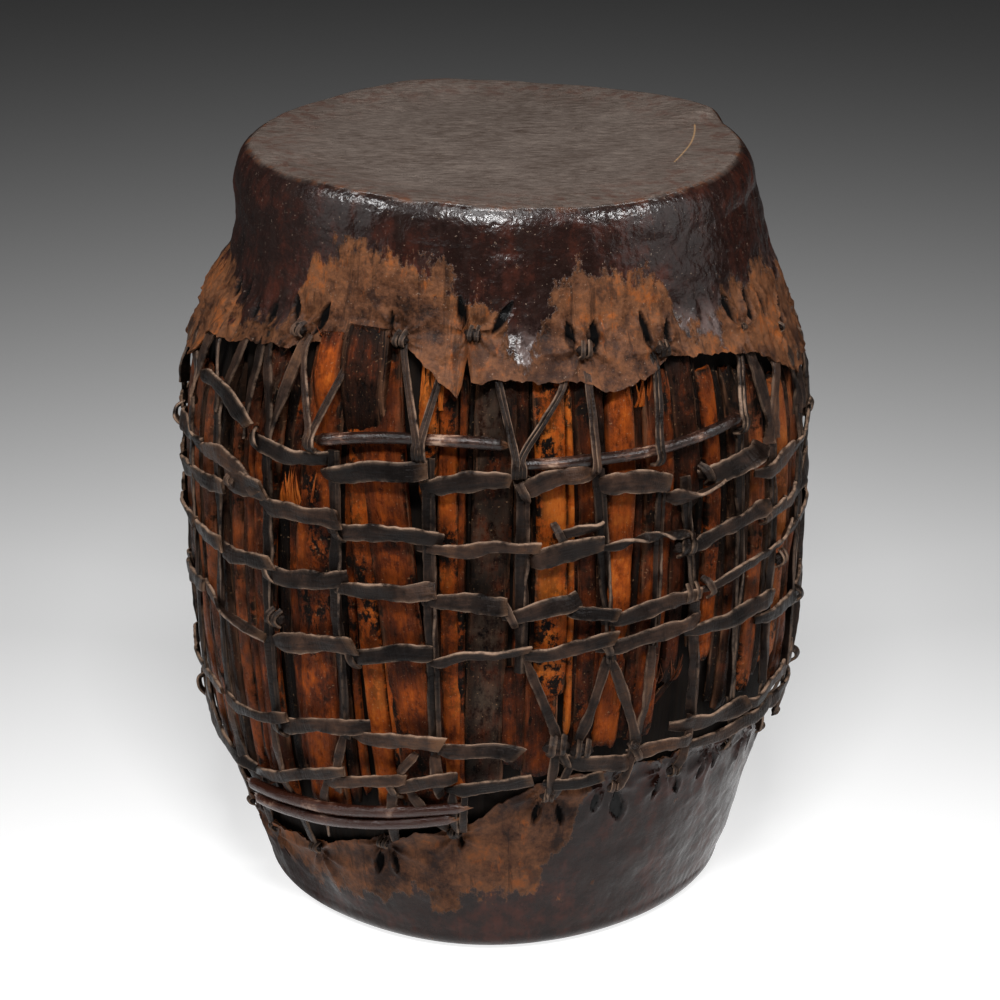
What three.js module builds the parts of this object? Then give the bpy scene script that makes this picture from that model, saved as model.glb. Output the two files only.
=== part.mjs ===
// A standing barrel drum: a hollow wooden shell with a rawhide head laced over each end, and long wooden
// wedges driven in behind the lacing all round the belly.
// Millimetres, +Z up, the centre of the underside at the origin, the photographed side facing -Y.
import * as THREE from "three";

// Sizes of the whole drum.
const HEIGHT = 480;
const BELLY_Z = 250;
const SHELL_BELLY_R = 188;
const SHELL_TOP_R = 152;
const SHELL_FOOT_R = 141;
const SHELL_WALL = 14;
const SHELL_END_GAP = 3;
const TOP_BEND = 1.8;
const FOOT_BEND = 1.9;

// Sizes of the two hides.
const HIDE = 2.2;
const HIDE_GAP = 0.7;
const RIM_ROUND = 12;
const SKIRT_STEP_Z = 402;
const SKIRT_CLEAR_Z = 414;
const TOP_HEM = [
  [-93, 352], [-75, 354], [-57, 380], [-39, 394], [-24, 405], [-6, 384], [8, 384], [22, 378], [34, 388],
  [51, 383], [72, 354], [88, 352], [110, 378], [130, 390], [150, 380], [172, 366], [195, 388], [215, 394],
  [235, 376], [252, 360],
];
const FOOT_HEM = [
  [-90, 62], [-48, 60], [-24, 79], [-7, 94], [12, 125], [35, 130], [54, 130], [90, 112],
  [120, 84], [156, 76], [180, 96], [205, 112], [235, 96],
];

// Sizes of the wedges.
const WEDGE_R = 196;
const WEDGE_PEAK_Z = 290;
const WEDGE_GAP = 1.4;
// Each row is one wedge of the front half: angle, width, foot, top, lean over its length, set-back of its face.
const WEDGE_ROWS = [
  [-84, 20, 98, 350, 0, 0.6],
  [-75, 21, 94, 352, 0, 1.2],
  [-66, 16, 90, 350, 0, 0.2],
  [-59.6, 12, 88, 372, 0, 1.4],
  [-54.8, 12, 92, 345, 0, 0.8],
  [-48, 21, 86, 386, 0, 0],
  [-34.5, 28, 92, 398, -1.2, 0.3],
  [-22.7, 15, 100, 396, -1.2, 1],
  [-15.7, 28, 100, 400, -1.2, 0],
  [-8, 13, 112, 390, 0, 1.3],
  [-1.3, 25, 124, 386, 0, 0.4],
  [10, 21, 188, 384, 0, 0],
  [17, 13, 148, 384, 0, 1.5],
  [23.2, 21, 148, 376, 0.8, 0.3],
  [31.5, 27, 150, 386, 1.6, 0],
  [44.1, 14, 192, 374, 0, 0.4],
  [50.7, 16, 152, 370, 0, 1.2],
  [57.4, 16, 156, 366, 0, 0.5],
  [67.5, 20, 166, 352, 0, 0],
  [77, 20, 140, 350, 0, 1],
  [87, 20, 124, 350, 0, 0.4],
];

// Sizes of the lacing: knots on the upper hide, stations on the belly and knots on the lower hide, in degrees.
const THONG_WIDTH = 5;
const THONG = 2;
const STRAND_HALF = 1.15;
const UPPER_KNOTS = [-78, -64, -51, -40, -18, -4, 17, 33, 56, 72, 88];
const STATIONS = [-71, -58, -44, -28, -11, 5, 21, 42, 64, 80, 95];
const LOWER_KNOTS = [-73, -60, -43, -24, -8, 10, 23, 38, 60, 78, 93];

// Sizes of the flat strips twined round the belly: height, swing of height, angle of the high side, over or under.
const STRIP_HEIGHT = 13;
const STRIP = 1.5;
const COURSES = [
  [322, 4, -60, false],
  [282, 9, -60, true],
  [248, 6, -50, true],
  [214, 4, -30, true],
  [154, 3, -30, false],
  [128, 4, 90, false],
];

// Sizes of the bent canes under the lacing: first angle, last angle and the height at each end.
const CANE = 7.6;
const CANE_SEAT = 0.5;
const UPPER_CANES = [[-33, 2.2, 344, 350], [3.6, 49, 338, 344]];
const LOWER_CANES = [[-58, -5, 86, 114], [-56, -7, 77, 103]];

const RING = 40;
const STRIP_RING = 38;
const group = new THREE.Group();

function rad(degrees) {
  return degrees * Math.PI / 180;
}

function at(degrees, r, z) {
  return [r * Math.sin(rad(degrees)), -r * Math.cos(rad(degrees)), z];
}

// Smooth value round the drum through a short list of angle and value.
function round_list(list, degrees) {
  const first = list[0][0];
  const a = first + ((((degrees - first) % 360) + 360) % 360);
  let i = 0;
  while (i < list.length - 1 && list[i + 1][0] <= a) {
    i += 1;
  }
  const end = i + 1 < list.length ? list[i + 1] : [first + 360, list[0][1]];
  const t = (a - list[i][0]) / (end[0] - list[i][0]);
  const s = t * t * (3 - 2 * t);
  return list[i][1] + s * (end[1] - list[i][1]);
}

// A hump of height one at an angle, falling to nothing a given way off.
function hump(degrees, middle, spread) {
  const off = ((degrees - middle + 540) % 360) - 180;
  return Math.exp(-((off / spread) ** 2));
}

// Rise of the worn upper rim above a true circle.
function rim_rise(degrees) {
  const left = 5 * hump(degrees, -35, 32);
  const back_left = 4.5 * hump(degrees, -160, 22);
  const back_right = 3.5 * hump(degrees, 128, 16);
  return left + back_left + back_right - 2 * hump(degrees, 30, 24);
}

// Swelling of the foot outward of a true circle.
function foot_swell(degrees) {
  return 7 * hump(degrees, -4, 28) - 2.5 * hump(degrees, 58, 26) + 4 * hump(degrees, 176, 40);
}

function shell_r(z) {
  if (z > BELLY_Z) {
    const t = (z - BELLY_Z) / (HEIGHT - BELLY_Z);
    return SHELL_BELLY_R - (SHELL_BELLY_R - SHELL_TOP_R) * t ** TOP_BEND;
  }
  const t = (BELLY_Z - z) / BELLY_Z;
  return SHELL_BELLY_R - (SHELL_BELLY_R - SHELL_FOOT_R) * t ** FOOT_BEND;
}

function wedge_r(z) {
  if (z > WEDGE_PEAK_Z) {
    return WEDGE_R - 21 * ((z - WEDGE_PEAK_Z) / 110) ** 2;
  }
  return WEDGE_R - 15 * ((WEDGE_PEAK_Z - 20 - Math.min(z, WEDGE_PEAK_Z - 20)) / 165) ** 2;
}

// Share of the foot's swelling at a height.
function foot_share(z) {
  return THREE.MathUtils.clamp(z > 40 ? 0.55 * (80 - z) / 40 : 0.55 + 0.45 * (40 - z) / 28, 0, 1);
}

// The worn shape of a point of the shell or a hide: ends swell and rise, the belly stays true.
function worn(degrees, r, z) {
  const high = THREE.MathUtils.smoothstep(z, 425, 472);
  const low = foot_share(z);
  const share = Math.min(1, r / SHELL_FOOT_R);
  const rise = rim_rise(degrees) * high * share ** 2;
  return at(degrees, r + foot_swell(degrees) * low * share, z + rise);
}

// A turned solid whose profile may change round the drum: a lathe carried to its place point by point.
function turned(points_at) {
  const count = points_at(0).length;
  const flat = Array.from({ length: count }, (_, j) => new THREE.Vector2(j, j));
  const geometry = new THREE.LatheGeometry(flat, RING);
  const position = geometry.getAttribute("position");
  for (let i = 0; i <= RING; i += 1) {
    const degrees = -360 * (i % RING) / RING;
    points_at(degrees).forEach(([r, z], j) => {
      position.setXYZ(i * count + j, ...worn(degrees, r, z));
    });
  }
  return geometry;
}

// A closed band of four-cornered sections along a ring of path points, each with its outward and sideways half.
function band(path) {
  const n = path.length;
  const geometry = new THREE.TorusGeometry(2, 1, 4, n);
  const position = geometry.getAttribute("position");
  const corners = [[1, 1], [-1, 1], [-1, -1], [1, -1], [1, 1]];
  corners.forEach(([out, side], j) => {
    for (let i = 0; i <= n; i += 1) {
      const here = path[i % n];
      const p = here.middle.clone();
      p.addScaledVector(here.outward, out * here.half_out);
      p.addScaledVector(here.sideways, side * here.half_side);
      position.setXYZ(j * (n + 1) + i, p.x, p.y, p.z);
    }
  });
  return geometry;
}

function add(name, geometry, color, roughness) {
  const material = new THREE.MeshStandardMaterial({ color, roughness, metalness: 0 });
  const mesh = new THREE.Mesh(geometry, material);
  mesh.name = name;
  group.add(mesh);
}

// The shell: a barrel hollowed right through, a little thinner at its two worn ends.
const SHELL_LEVELS = [477, 468, 450, 414, 365, 250, 130, 80, 40, 12];
function shell_profile() {
  const outer = SHELL_LEVELS.map((z) => [z > 475 ? shell_r(468) - RIM_ROUND : shell_r(z), z]);
  outer.push([shell_r(12) - RIM_ROUND, SHELL_END_GAP]);
  const inner = [SHELL_END_GAP, 130, 250, 365, 477].map((z) => [shell_r(z) - SHELL_WALL, z]);
  const ring = [...outer, ...inner];
  ring.push(ring[0]);
  return ring;
}
add("drum_shell", turned(shell_profile), 0x2b1a12, 0.8);

// The upper hide: a flat membrane, a rounded rim and a skirt that steps out over the wedge tops to a cut hem.
const SEC = 1 / Math.cos(Math.PI / RING);
function skirt_in(z) {
  return z > SKIRT_STEP_Z ? shell_r(z) + HIDE_GAP : (wedge_r(z) + 0.4) * SEC;
}
function upper_hide_profile(degrees) {
  const hem = round_list(TOP_HEM, degrees);
  const mid = Math.min((SKIRT_STEP_Z + hem) / 2, SKIRT_STEP_Z - 0.5);
  const low = Math.min(hem, mid - 0.5);
  const levels = [468, 450, SKIRT_CLEAR_Z, SKIRT_STEP_Z, mid, low];
  const rim = shell_r(468) + HIDE_GAP;
  const out = levels.map((z) => [skirt_in(z) + HIDE, z]);
  const back = levels.map((z) => [skirt_in(z), z]).reverse();
  const top = [[0, HEIGHT], [rim - RIM_ROUND, HEIGHT], [rim - 1.5, HEIGHT - 5]];
  const under = [[rim - RIM_ROUND, HEIGHT - HIDE], [0, HEIGHT - HIDE]];
  return [...top, ...out, ...back, ...under];
}
add("top_head_hide", turned(upper_hide_profile), 0x3a2a24, 0.5);

// The lower hide: the same, drawn up from the underside, its hem high on one side and low on the other.
function lower_hide_profile(degrees) {
  const hem = round_list(FOOT_HEM, degrees);
  const mid = (40 + hem) / 2;
  const levels = [hem, mid, 40, 12];
  const rim = shell_r(12) + HIDE_GAP;
  const out = levels.map((z) => [shell_r(z) + HIDE_GAP + HIDE, z]);
  const back = levels.map((z) => [shell_r(z) + HIDE_GAP, z]).reverse();
  const under = [[rim - 3, 2], [rim - RIM_ROUND, 0], [0, 0]];
  const top = [[0, HIDE], [rim - RIM_ROUND, HIDE]];
  return [...out, ...under, ...top, ...back, out[0]];
}
add("bottom_head_hide", turned(lower_hide_profile), 0x2e2524, 0.5);

// The wedges: straight slats, thick at the belly and thin at the driven end, the front row repeated behind.
function wedge([angle, width, foot, top, lean, back], turn) {
  const half = (width / 2 / WEDGE_R) * 180 / Math.PI;
  const hem = Math.max(...[-2, 0, 2].map((step) => round_list(FOOT_HEM, angle + turn + step * half)));
  const low = Math.max(foot, hem + 8);
  const geometry = new THREE.BoxGeometry(1, 1, 1, 1, 1, 4);
  const position = geometry.getAttribute("position");
  for (let i = 0; i < position.count; i += 1) {
    const side = position.getX(i) * 2;
    const outer = position.getY(i) < 0;
    const z = low + (position.getZ(i) + 0.5) * (top - low);
    const middle = angle + turn + lean * (z - BELLY_Z) / 150;
    const seat = (shell_r(z) + WEDGE_GAP) / Math.cos(rad(half));
    const r = outer ? Math.max(wedge_r(z) - back, seat + 1.2) : seat;
    position.setXYZ(i, ...at(middle + side * half, r, z));
  }
  return geometry;
}
[0, 180].forEach((turn, part) => {
  WEDGE_ROWS.forEach((row, i) => {
    const number = String(1 + i + part * WEDGE_ROWS.length).padStart(2, "0");
    add("wedge_" + number, wedge(row, turn), i % 3 ? 0x5a2c18 : 0x7a3a18, 0.45);
  });
});

// The canes: bent round sticks under the lacing, two end to end above and two side by side below.
function cane_angle([from, to], degrees) {
  const off = ((degrees - from + 540) % 360) - 180;
  return off > -2.5 && off < to - from + 2.5;
}
function cane([from, to, z_from, z_to], turn) {
  const geometry = new THREE.CylinderGeometry(1, 1, 1, 5, 6);
  const position = geometry.getAttribute("position");
  for (let i = 0; i < position.count; i += 1) {
    const t = position.getY(i) + 0.5;
    const z = z_from + (z_to - z_from) * t + position.getZ(i) * CANE / 2;
    const middle_z = z_from + (z_to - z_from) * t;
    const reach = wedge_r(middle_z) + 0.6 + CANE_SEAT + CANE / 2;
    const r = reach + position.getX(i) * CANE / 2;
    position.setXYZ(i, ...at(from + turn + (to - from) * t, r, z));
  }
  return geometry;
}
[0, 180].forEach((turn, part) => {
  UPPER_CANES.forEach((row, i) => add("upper_cane_" + (1 + i + 2 * part), cane(row, turn), 0x8a5a3c, 0.5));
  LOWER_CANES.forEach((row, i) => add("lower_cane_" + (1 + i + 2 * part), cane(row, turn), 0x6a4632, 0.5));
});

// The lacing: one long thong, down from a knot on the upper hide, over a cane, behind the twined strips, over the
// lower canes to a knot on the lower hide and up again, all the way round.
function lacing_path() {
  const count = STATIONS.length;
  const spots = [];
  [0, 180].forEach((turn) => {
    STATIONS.forEach((station, k) => {
      const s = station + turn;
      const low = LOWER_KNOTS[k] + turn;
      const next = k + 1 < count ? UPPER_KNOTS[k + 1] + turn : UPPER_KNOTS[0] + turn + 180;
      const over = UPPER_CANES.some((row) => cane_angle(row, s - turn));
      const under = LOWER_CANES.some((row) => cane_angle(row, low - turn));
      const hem = round_list(FOOT_HEM, low);
      const bend_z = under ? 72 + (low - turn + 58) * 0.5 : Math.min(hem + 15, 121);
      const knot_z = Math.min(hem - 9, bend_z - 10);
      const hoop = wedge_r(344) + (over ? 2.7 + CANE : 6.6);
      const bend = wedge_r(bend_z) + (under ? 4 + CANE + CANE_SEAT : 8);
      const down = [
        [UPPER_KNOTS[k] + turn, null],
        [s, 352, hoop],
        [s, 334, WEDGE_R + 6.8],
        [s, 299, wedge_r(299) + 2],
        [s, 232, wedge_r(232) + 2],
        [(s + low) / 2, 156, wedge_r(156) + 5.2],
        [low, bend_z, bend],
        [low, knot_z, shell_r(knot_z) + foot_swell(low) * foot_share(knot_z) + HIDE_GAP + HIDE + 1.8],
      ];
      const up = down.map((spot) => [...spot]).reverse();
      up[up.length - 1][0] = next;
      down.forEach(([a, z, r]) => spots.push([a - (z === null ? -1 : 1) * STRAND_HALF, z, r]));
      up.forEach(([a, z, r]) => spots.push([a + (z === null ? -1 : 1) * STRAND_HALF, z, r]));
    });
  });
  return spots.map(([a, z, r]) => {
    const knot_z = Math.max(398, round_list(TOP_HEM, a) + 7);
    const height = z === null ? knot_z : z;
    const reach = z === null ? Math.max(skirt_in(knot_z), skirt_in(SKIRT_STEP_Z)) + HIDE + 2.4 : r;
    return new THREE.Vector3(...at(a, reach, height));
  });
}
function thong(points) {
  const n = points.length;
  return band(points.map((p, i) => {
    const before = points[(i + n - 1) % n];
    const after = points[(i + 1) % n];
    const outward = new THREE.Vector3(p.x, p.y, 0).normalize();
    const a = p.clone().sub(before).normalize();
    const b = after.clone().sub(p).normalize();
    const along = a.clone().add(b).normalize();
    const spread = Math.min(1.5, 1 / Math.max(0.2, a.dot(along)));
    const sideways = outward.clone().cross(along).normalize();
    const half_side = THONG_WIDTH / 2 * spread;
    return { middle: p, outward, sideways, half_out: THONG / 2, half_side };
  }));
}
add("lacing_thong", thong(lacing_path()), 0x3a302b, 0.6);

// The strips: six flat leather bands twined round the belly, three over the lacing and three beneath it.
const STRIP_SEC = 1 / Math.cos(Math.PI / STRIP_RING);
function strip([height, swing, high, over]) {
  const clear = over ? 3.6 : 0.35;
  const path = Array.from({ length: STRIP_RING }, (_, i) => {
    const degrees = 360 * i / STRIP_RING;
    const z = height + swing * Math.cos(rad(degrees - high));
    const reach = Math.max(wedge_r(z + STRIP_HEIGHT / 2), wedge_r(z - STRIP_HEIGHT / 2), wedge_r(z));
    const r = (reach + clear) * STRIP_SEC + STRIP / 2;
    const middle = new THREE.Vector3(...at(degrees, r, z));
    const outward = new THREE.Vector3(...at(degrees, 1, 0));
    const sideways = new THREE.Vector3(0, 0, 1);
    return { middle, outward, sideways, half_out: STRIP / 2, half_side: STRIP_HEIGHT / 2 };
  });
  return band(path);
}
COURSES.forEach((row, i) => add("lacing_course_" + (i + 1), strip(row), 0x3c332f, 0.6));

export default group;
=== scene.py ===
import bpy
import numpy as np
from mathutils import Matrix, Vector


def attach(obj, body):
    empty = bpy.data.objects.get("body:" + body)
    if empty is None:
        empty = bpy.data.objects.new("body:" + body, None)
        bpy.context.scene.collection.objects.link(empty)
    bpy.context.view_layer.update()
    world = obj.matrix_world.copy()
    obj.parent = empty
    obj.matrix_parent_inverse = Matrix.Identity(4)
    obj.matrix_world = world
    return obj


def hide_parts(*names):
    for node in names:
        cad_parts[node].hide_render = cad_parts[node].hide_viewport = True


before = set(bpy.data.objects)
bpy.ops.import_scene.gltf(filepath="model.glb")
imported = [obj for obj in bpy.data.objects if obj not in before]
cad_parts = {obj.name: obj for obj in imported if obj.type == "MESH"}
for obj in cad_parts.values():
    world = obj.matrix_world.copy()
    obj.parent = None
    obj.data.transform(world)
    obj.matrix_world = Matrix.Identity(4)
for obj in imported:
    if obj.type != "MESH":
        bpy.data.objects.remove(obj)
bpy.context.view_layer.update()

# The shell: one log hollowed right through into a barrel, adzed outside and left rough.
# Dark old wood, darkened further as painted shade, and seen only in the gaps between the wedges.
# The two hides and the lacing hold everything on it.
# Sizes are in millimetres, angles in degrees from the front.
MM = 0.001
HEIGHT = 480
BELLY_Z = 250
BELLY_R = 188
TOP_DRAW, FOOT_DRAW = 36, 47
SHELL_WALL = 14
LOG_FOOT, LOG_TOP = 3, 477
CHAMFER = 12
SLACK, SLACK_SIDE = 6.5, -98
CREASE_ANGLE = 52


def around(angle, r, z):
    """Points at a distance r from the drum's axis, an angle in degrees from the front towards +X, and a height."""
    turn = np.radians(angle)
    return np.stack(np.broadcast_arrays(r * np.sin(turn), -r * np.cos(turn), z), -1).astype(float)


def shell_r(z):
    """Outer radius of the shell: two power curves falling away from the belly to the ends."""
    up = np.clip((z - BELLY_Z) / (HEIGHT - BELLY_Z), 0, None)
    down = np.clip((BELLY_Z - z) / BELLY_Z, 0, None)
    return BELLY_R - TOP_DRAW * up ** 1.8 - FOOT_DRAW * down ** 1.9


def hump(angle, middle, spread):
    """1 at an angle, falling away to nothing on both sides."""
    off = (angle - middle + 180) % 360 - 180
    return np.exp(-(off / spread) ** 2)


def lumps(points, size, seed):
    """Smooth noise from -1 to 1: seeded values on a lattice with cells of that size, eased between the corners."""
    values = np.random.default_rng(seed).uniform(-1, 1, (32, 32, 32))
    place = points / np.asarray(size, float) + 400
    cell = np.floor(place).astype(int)
    part = place - cell
    part = part * part * (3 - 2 * part)
    total = 0
    for corner in np.ndindex(2, 2, 2):
        step = np.array(corner)
        share = np.where(step, part, 1 - part).prod(-1)
        i, j, k = np.moveaxis((cell + step) % 32, -1, 0)
        total = total + share * values[i, j, k]
    return total


def ease(value, low, high):
    """0 below low, 1 above high, and a smooth step between."""
    t = np.clip((value - low) / (high - low), 0, 1)
    return t * t * (3 - 2 * t)


def slack(angle, z):
    """How far the shoulder on the left is drawn in between the belly and the rim."""
    return SLACK * hump(angle, SLACK_SIDE, 40) * ease(z, 385, 415) * ease(-z, -458, -432)


def skin(points, run, look, ring=False):
    """A grid of points closed round its columns: quads between neighbours and one face over each end row, or, as
    a ring, quads from the last row back to the first. run is the place on the material, look what it reads."""
    rows, columns = points.shape[:2]
    index = np.arange(rows * columns).reshape(rows, columns)
    ends = np.stack([index[0, ::-1], index[-1]])
    if ring:
        index, ends = np.concatenate([index, index[:1]]), ends[:0]
    beside = np.roll(index, -1, 1)
    quads = np.stack([index[:-1], beside[:-1], beside[1:], index[1:]], -1).reshape(-1, 4)
    flat = points.reshape(-1, 3)
    a, b, c, d = np.moveaxis(flat[quads] - flat.mean(0), 1, 0)
    if (a * (np.cross(b, c) + np.cross(c, d))).sum() < 0:
        quads, ends = quads[:, ::-1], ends[:, ::-1]
    part = {"points": flat, "quads": quads, "ends": ends}
    for key, values in (("run", run), ("look", look)):
        spread = [np.broadcast_to(value, (rows, columns)) for value in values]
        part[key] = np.stack(spread, -1).reshape(-1, 3).astype(float)
    return part


def add_piece(name, parts, finish, slot, *nodes):
    """One object from its parts, with their run and look as attributes, riding on the drum in place of its nodes."""
    mesh = bpy.data.meshes.new(name)
    first = np.cumsum([0] + [len(p["points"]) for p in parts])
    corners = [(p["quads"] + f).ravel() for p, f in zip(parts, first)]
    sizes = [np.full(len(p["quads"]), 4) for p in parts]
    corners += [(p["ends"] + f).ravel() for p, f in zip(parts, first)]
    sizes += [np.full(len(p["ends"]), p["ends"].shape[1]) for p in parts]
    corners, sizes = np.concatenate(corners), np.concatenate(sizes)
    points = np.concatenate([p["points"] for p in parts]) * MM
    mesh.vertices.add(len(points))
    mesh.vertices.foreach_set("co", points.ravel())
    mesh.loops.add(len(corners))
    mesh.loops.foreach_set("vertex_index", corners)
    mesh.polygons.add(len(sizes))
    mesh.polygons.foreach_set("loop_start", np.cumsum(sizes) - sizes)
    mesh.update(calc_edges=True)
    for key in ("run", "look"):
        layer = mesh.attributes.new(key, "FLOAT_VECTOR", "POINT")
        layer.data.foreach_set("vector", np.concatenate([p[key] for p in parts]).ravel())
    mesh.validate()
    mesh.shade_smooth()
    mesh.set_sharp_from_angle(angle=np.radians(CREASE_ANGLE))
    mesh.materials.append(finish)
    piece = bpy.data.objects.new(name, mesh)
    bpy.context.scene.collection.objects.link(piece)
    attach(piece, "root")
    if nodes:
        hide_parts(*nodes)
    return piece


class Finish:
    """A procedural finish: a material, and short calls that each add a node to it and give the node's output."""

    def __init__(self, name):
        self.material = bpy.data.materials.new(name)
        self.material.use_nodes = True
        self.tree = self.material.node_tree
        self.shader = self.tree.nodes["Principled BSDF"]

    def feed(self, socket, value):
        """Sets a socket to a plain value, or links it to another node's output."""
        if isinstance(value, bpy.types.NodeSocket):
            self.tree.links.new(value, socket)
        else:
            socket.default_value = value

    def node(self, kind, inputs=(), **settings):
        """One node. inputs pairs each socket with a plain value or with another node's output."""
        made = self.tree.nodes.new("ShaderNode" + kind)
        for key, value in settings.items():
            setattr(made, key, value)
        for key, value in dict(inputs).items():
            self.feed(made.inputs[key], value)
        return made

    def place(self):
        """Object coordinates, in metres."""
        return self.node("TexCoord").outputs["Object"]

    def split(self, vector):
        """The three parts of a vector."""
        return self.node("SeparateXYZ", {"Vector": vector}).outputs

    def attribute(self, name):
        """An attribute of the piece: the whole vector and its three parts."""
        whole = self.node("Attribute", attribute_name=name).outputs["Vector"]
        return whole, self.split(whole)

    def speckle(self, vector, scale, detail=4.0, rough=0.55):
        """Cloudy noise between 0 and 1."""
        inputs = {"Vector": vector, "Scale": scale, "Detail": detail, "Roughness": rough}
        return self.node("TexNoise", inputs).outputs["Fac"]

    def grain(self, vector, scale, detail=4.0, rough=0.55):
        """Cloudy noise on a place that is scaled differently in each direction, so that it runs in streaks."""
        drawn = self.node("Mapping", {"Vector": vector, "Scale": scale}).outputs["Vector"]
        return self.speckle(drawn, 1.0, detail, rough)

    def calc(self, operation, a, b, c=0.0):
        """One sum on two or three values."""
        return self.node("Math", {0: a, 1: b, 2: c}, operation=operation).outputs[0]

    def times(self, first, *others):
        """Values multiplied one after another."""
        for value in others:
            first = self.calc("MULTIPLY", first, value)
        return first

    def times_plus(self, a, b, c):
        """Two values multiplied, and a third added."""
        return self.calc("MULTIPLY_ADD", a, b, c)

    def between(self, value, low, high, to_low=0.0, to_high=1.0):
        """A value carried smoothly from one range to another and held at the ends."""
        inputs = {"Value": value, "From Min": low, "From Max": high, "To Min": to_low, "To Max": to_high}
        return self.node("MapRange", inputs, interpolation_type="SMOOTHSTEP").outputs["Result"]

    def ramp(self, value, stops):
        """Colours along a value: each stop is a place and a linear colour."""
        made = self.node("ValToRGB", {"Fac": value})
        row = made.color_ramp.elements
        while len(row) < len(stops):
            row.new(0.5)
        for element, (place, colour) in zip(row, stops):
            element.position = place
            element.color = (*colour, 1)
        return made.outputs["Color"]

    def paint(self, share, under, over):
        """One colour laid over another by a share."""
        inputs = {0: share}
        for socket, colour in ((6, under), (7, over)):
            inputs[socket] = colour if isinstance(colour, bpy.types.NodeSocket) else (*colour, 1)
        return self.node("Mix", inputs, data_type="RGBA").outputs[2]

    def close(self, colour, roughness, height, depth, **others):
        """Ends the finish: its colour, its roughness, a relief of a depth in metres, and other shader values."""
        bump = self.node("Bump", {"Height": height, "Strength": 1.0, "Distance": depth}).outputs["Normal"]
        values = {"Base_Color": colour, "Roughness": roughness, "Normal": bump, **others}
        if "Coat_Weight" in others:
            values["Coat_Normal"] = bump
        for key, value in values.items():
            self.feed(self.shader.inputs[key.replace("_", " ")], value)
        return self.material


# Nearly black: the old wood's own dark colour, taken further as painted shade in the gaps between the wedges.
SHELL_AND_GAP_SHADE_COLOURS = [(0.3, (0.002, 0.0014, 0.0011)), (0.75, (0.009, 0.005, 0.003))]


def shell_finish():
    """Nearly black adzed wood with a brown grain, darker than the wood itself as painted shade for the gaps."""
    f = Finish("dark_shell_wood_and_gap_shade")
    run, _ = f.attribute("run")
    grain = f.grain(run, (0.35, 0.02, 0.3), 6)
    roughness = f.between(grain, 0, 1, 0.7, 0.9)
    return f.close(f.ramp(grain, SHELL_AND_GAP_SHADE_COLOURS), roughness, grain, 0.0008, Specular_IOR_Level=0.1)


def barrel():
    """The hollow barrel: the outer curve from foot to top, then the inner one back down, turned round the axis and
    flattened here and there by the adze."""
    angle = np.linspace(0, 360, 160, endpoint=False)[None]
    z = np.linspace(LOG_FOOT, LOG_TOP, 60)
    outer = shell_r(z) - CHAMFER * (ease(z, LOG_TOP - 11, LOG_TOP) + ease(-z, -LOG_FOOT - 11, -LOG_FOOT))
    r = np.concatenate([outer, shell_r(z[::-4]) - SHELL_WALL])[:, None]
    z = np.concatenate([z, z[::-4]])[:, None]
    facets = np.abs(lumps(around(angle, r, z), (26, 26, 60), 3))
    r = r - slack(angle, z) - 0.9 * facets
    return skin(around(angle, r, z), (angle * 3.2, z, 0), (0, 0, 0), ring=True)


add_piece("drum_shell_wood", [barrel()], shell_finish(), "shell_wood", "drum_shell")

# The wedges: split slats of hard reddish wood, driven down side by side between the shell and the lacing to
# tighten it. Each is polished by handling on its face, torn at its ends, dirty in patches, and darkened along its
# edges and ends with painted shade, black in the gaps.
# One row for each wedge of the front half: angle, width, foot, top, lean, set-back, tone, crown, fray of the top.
WEDGES = [
    (-84, 19, 98, 350, 0, 0.6, 0.44, 2.5, 3),
    (-75, 20, 94, 352, 0, 1.2, 0.68, 3.0, 4),
    (-66, 16, 90, 350, 0, 0.2, 0.64, 3.0, 3),
    (-59.6, 12, 88, 372, 0, 1.4, 0.30, 2.5, 5),
    (-54.6, 11, 92, 345, 0.5, 0.8, 0.60, 2.5, 3),
    (-46.8, 20, 86, 386, 1.5, 0.0, 0.52, 4.5, 3),
    (-33.8, 28, 92, 394, 1.5, 0.3, 0.58, 1.4, 4),
    (-23.4, 15, 100, 396, -2.5, 1.0, 0.74, 0.8, 5),
    (-17.6, 28, 100, 398, -5.0, 0.0, 0.55, 1.5, 2),
    (-8.0, 12, 112, 390, -0.6, 1.3, 0.68, 0.8, 7),
    (-1.0, 24, 124, 386, 1.5, 0.4, 0.33, 0.8, 3),
    (10.0, 19, 188, 384, 0, 0.0, 0.86, 0.8, 2),
    (16.6, 12, 148, 384, 0, 1.5, 0.46, 0.8, 3),
    (22.2, 18, 148, 376, 2.0, 0.3, 0.68, 0.8, 4),
    (29.6, 19, 150, 378, 2.6, 0.0, 0.52, 1.0, 6),
    (42.4, 13, 192, 374, 1.5, 0.4, 0.64, 1.2, 2),
    (49.4, 13, 152, 370, 1.0, 1.2, 0.40, 1.6, 3),
    (56.4, 16, 156, 366, 1.0, 0.5, 0.64, 2.5, 3),
    (66.4, 20, 166, 352, 1.0, 0.0, 0.90, 5.0, 2),
    (77, 20, 140, 350, 0, 1.0, 0.66, 3.0, 3),
    (87, 20, 124, 350, 0, 0.4, 0.35, 3.0, 3),
]
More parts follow.
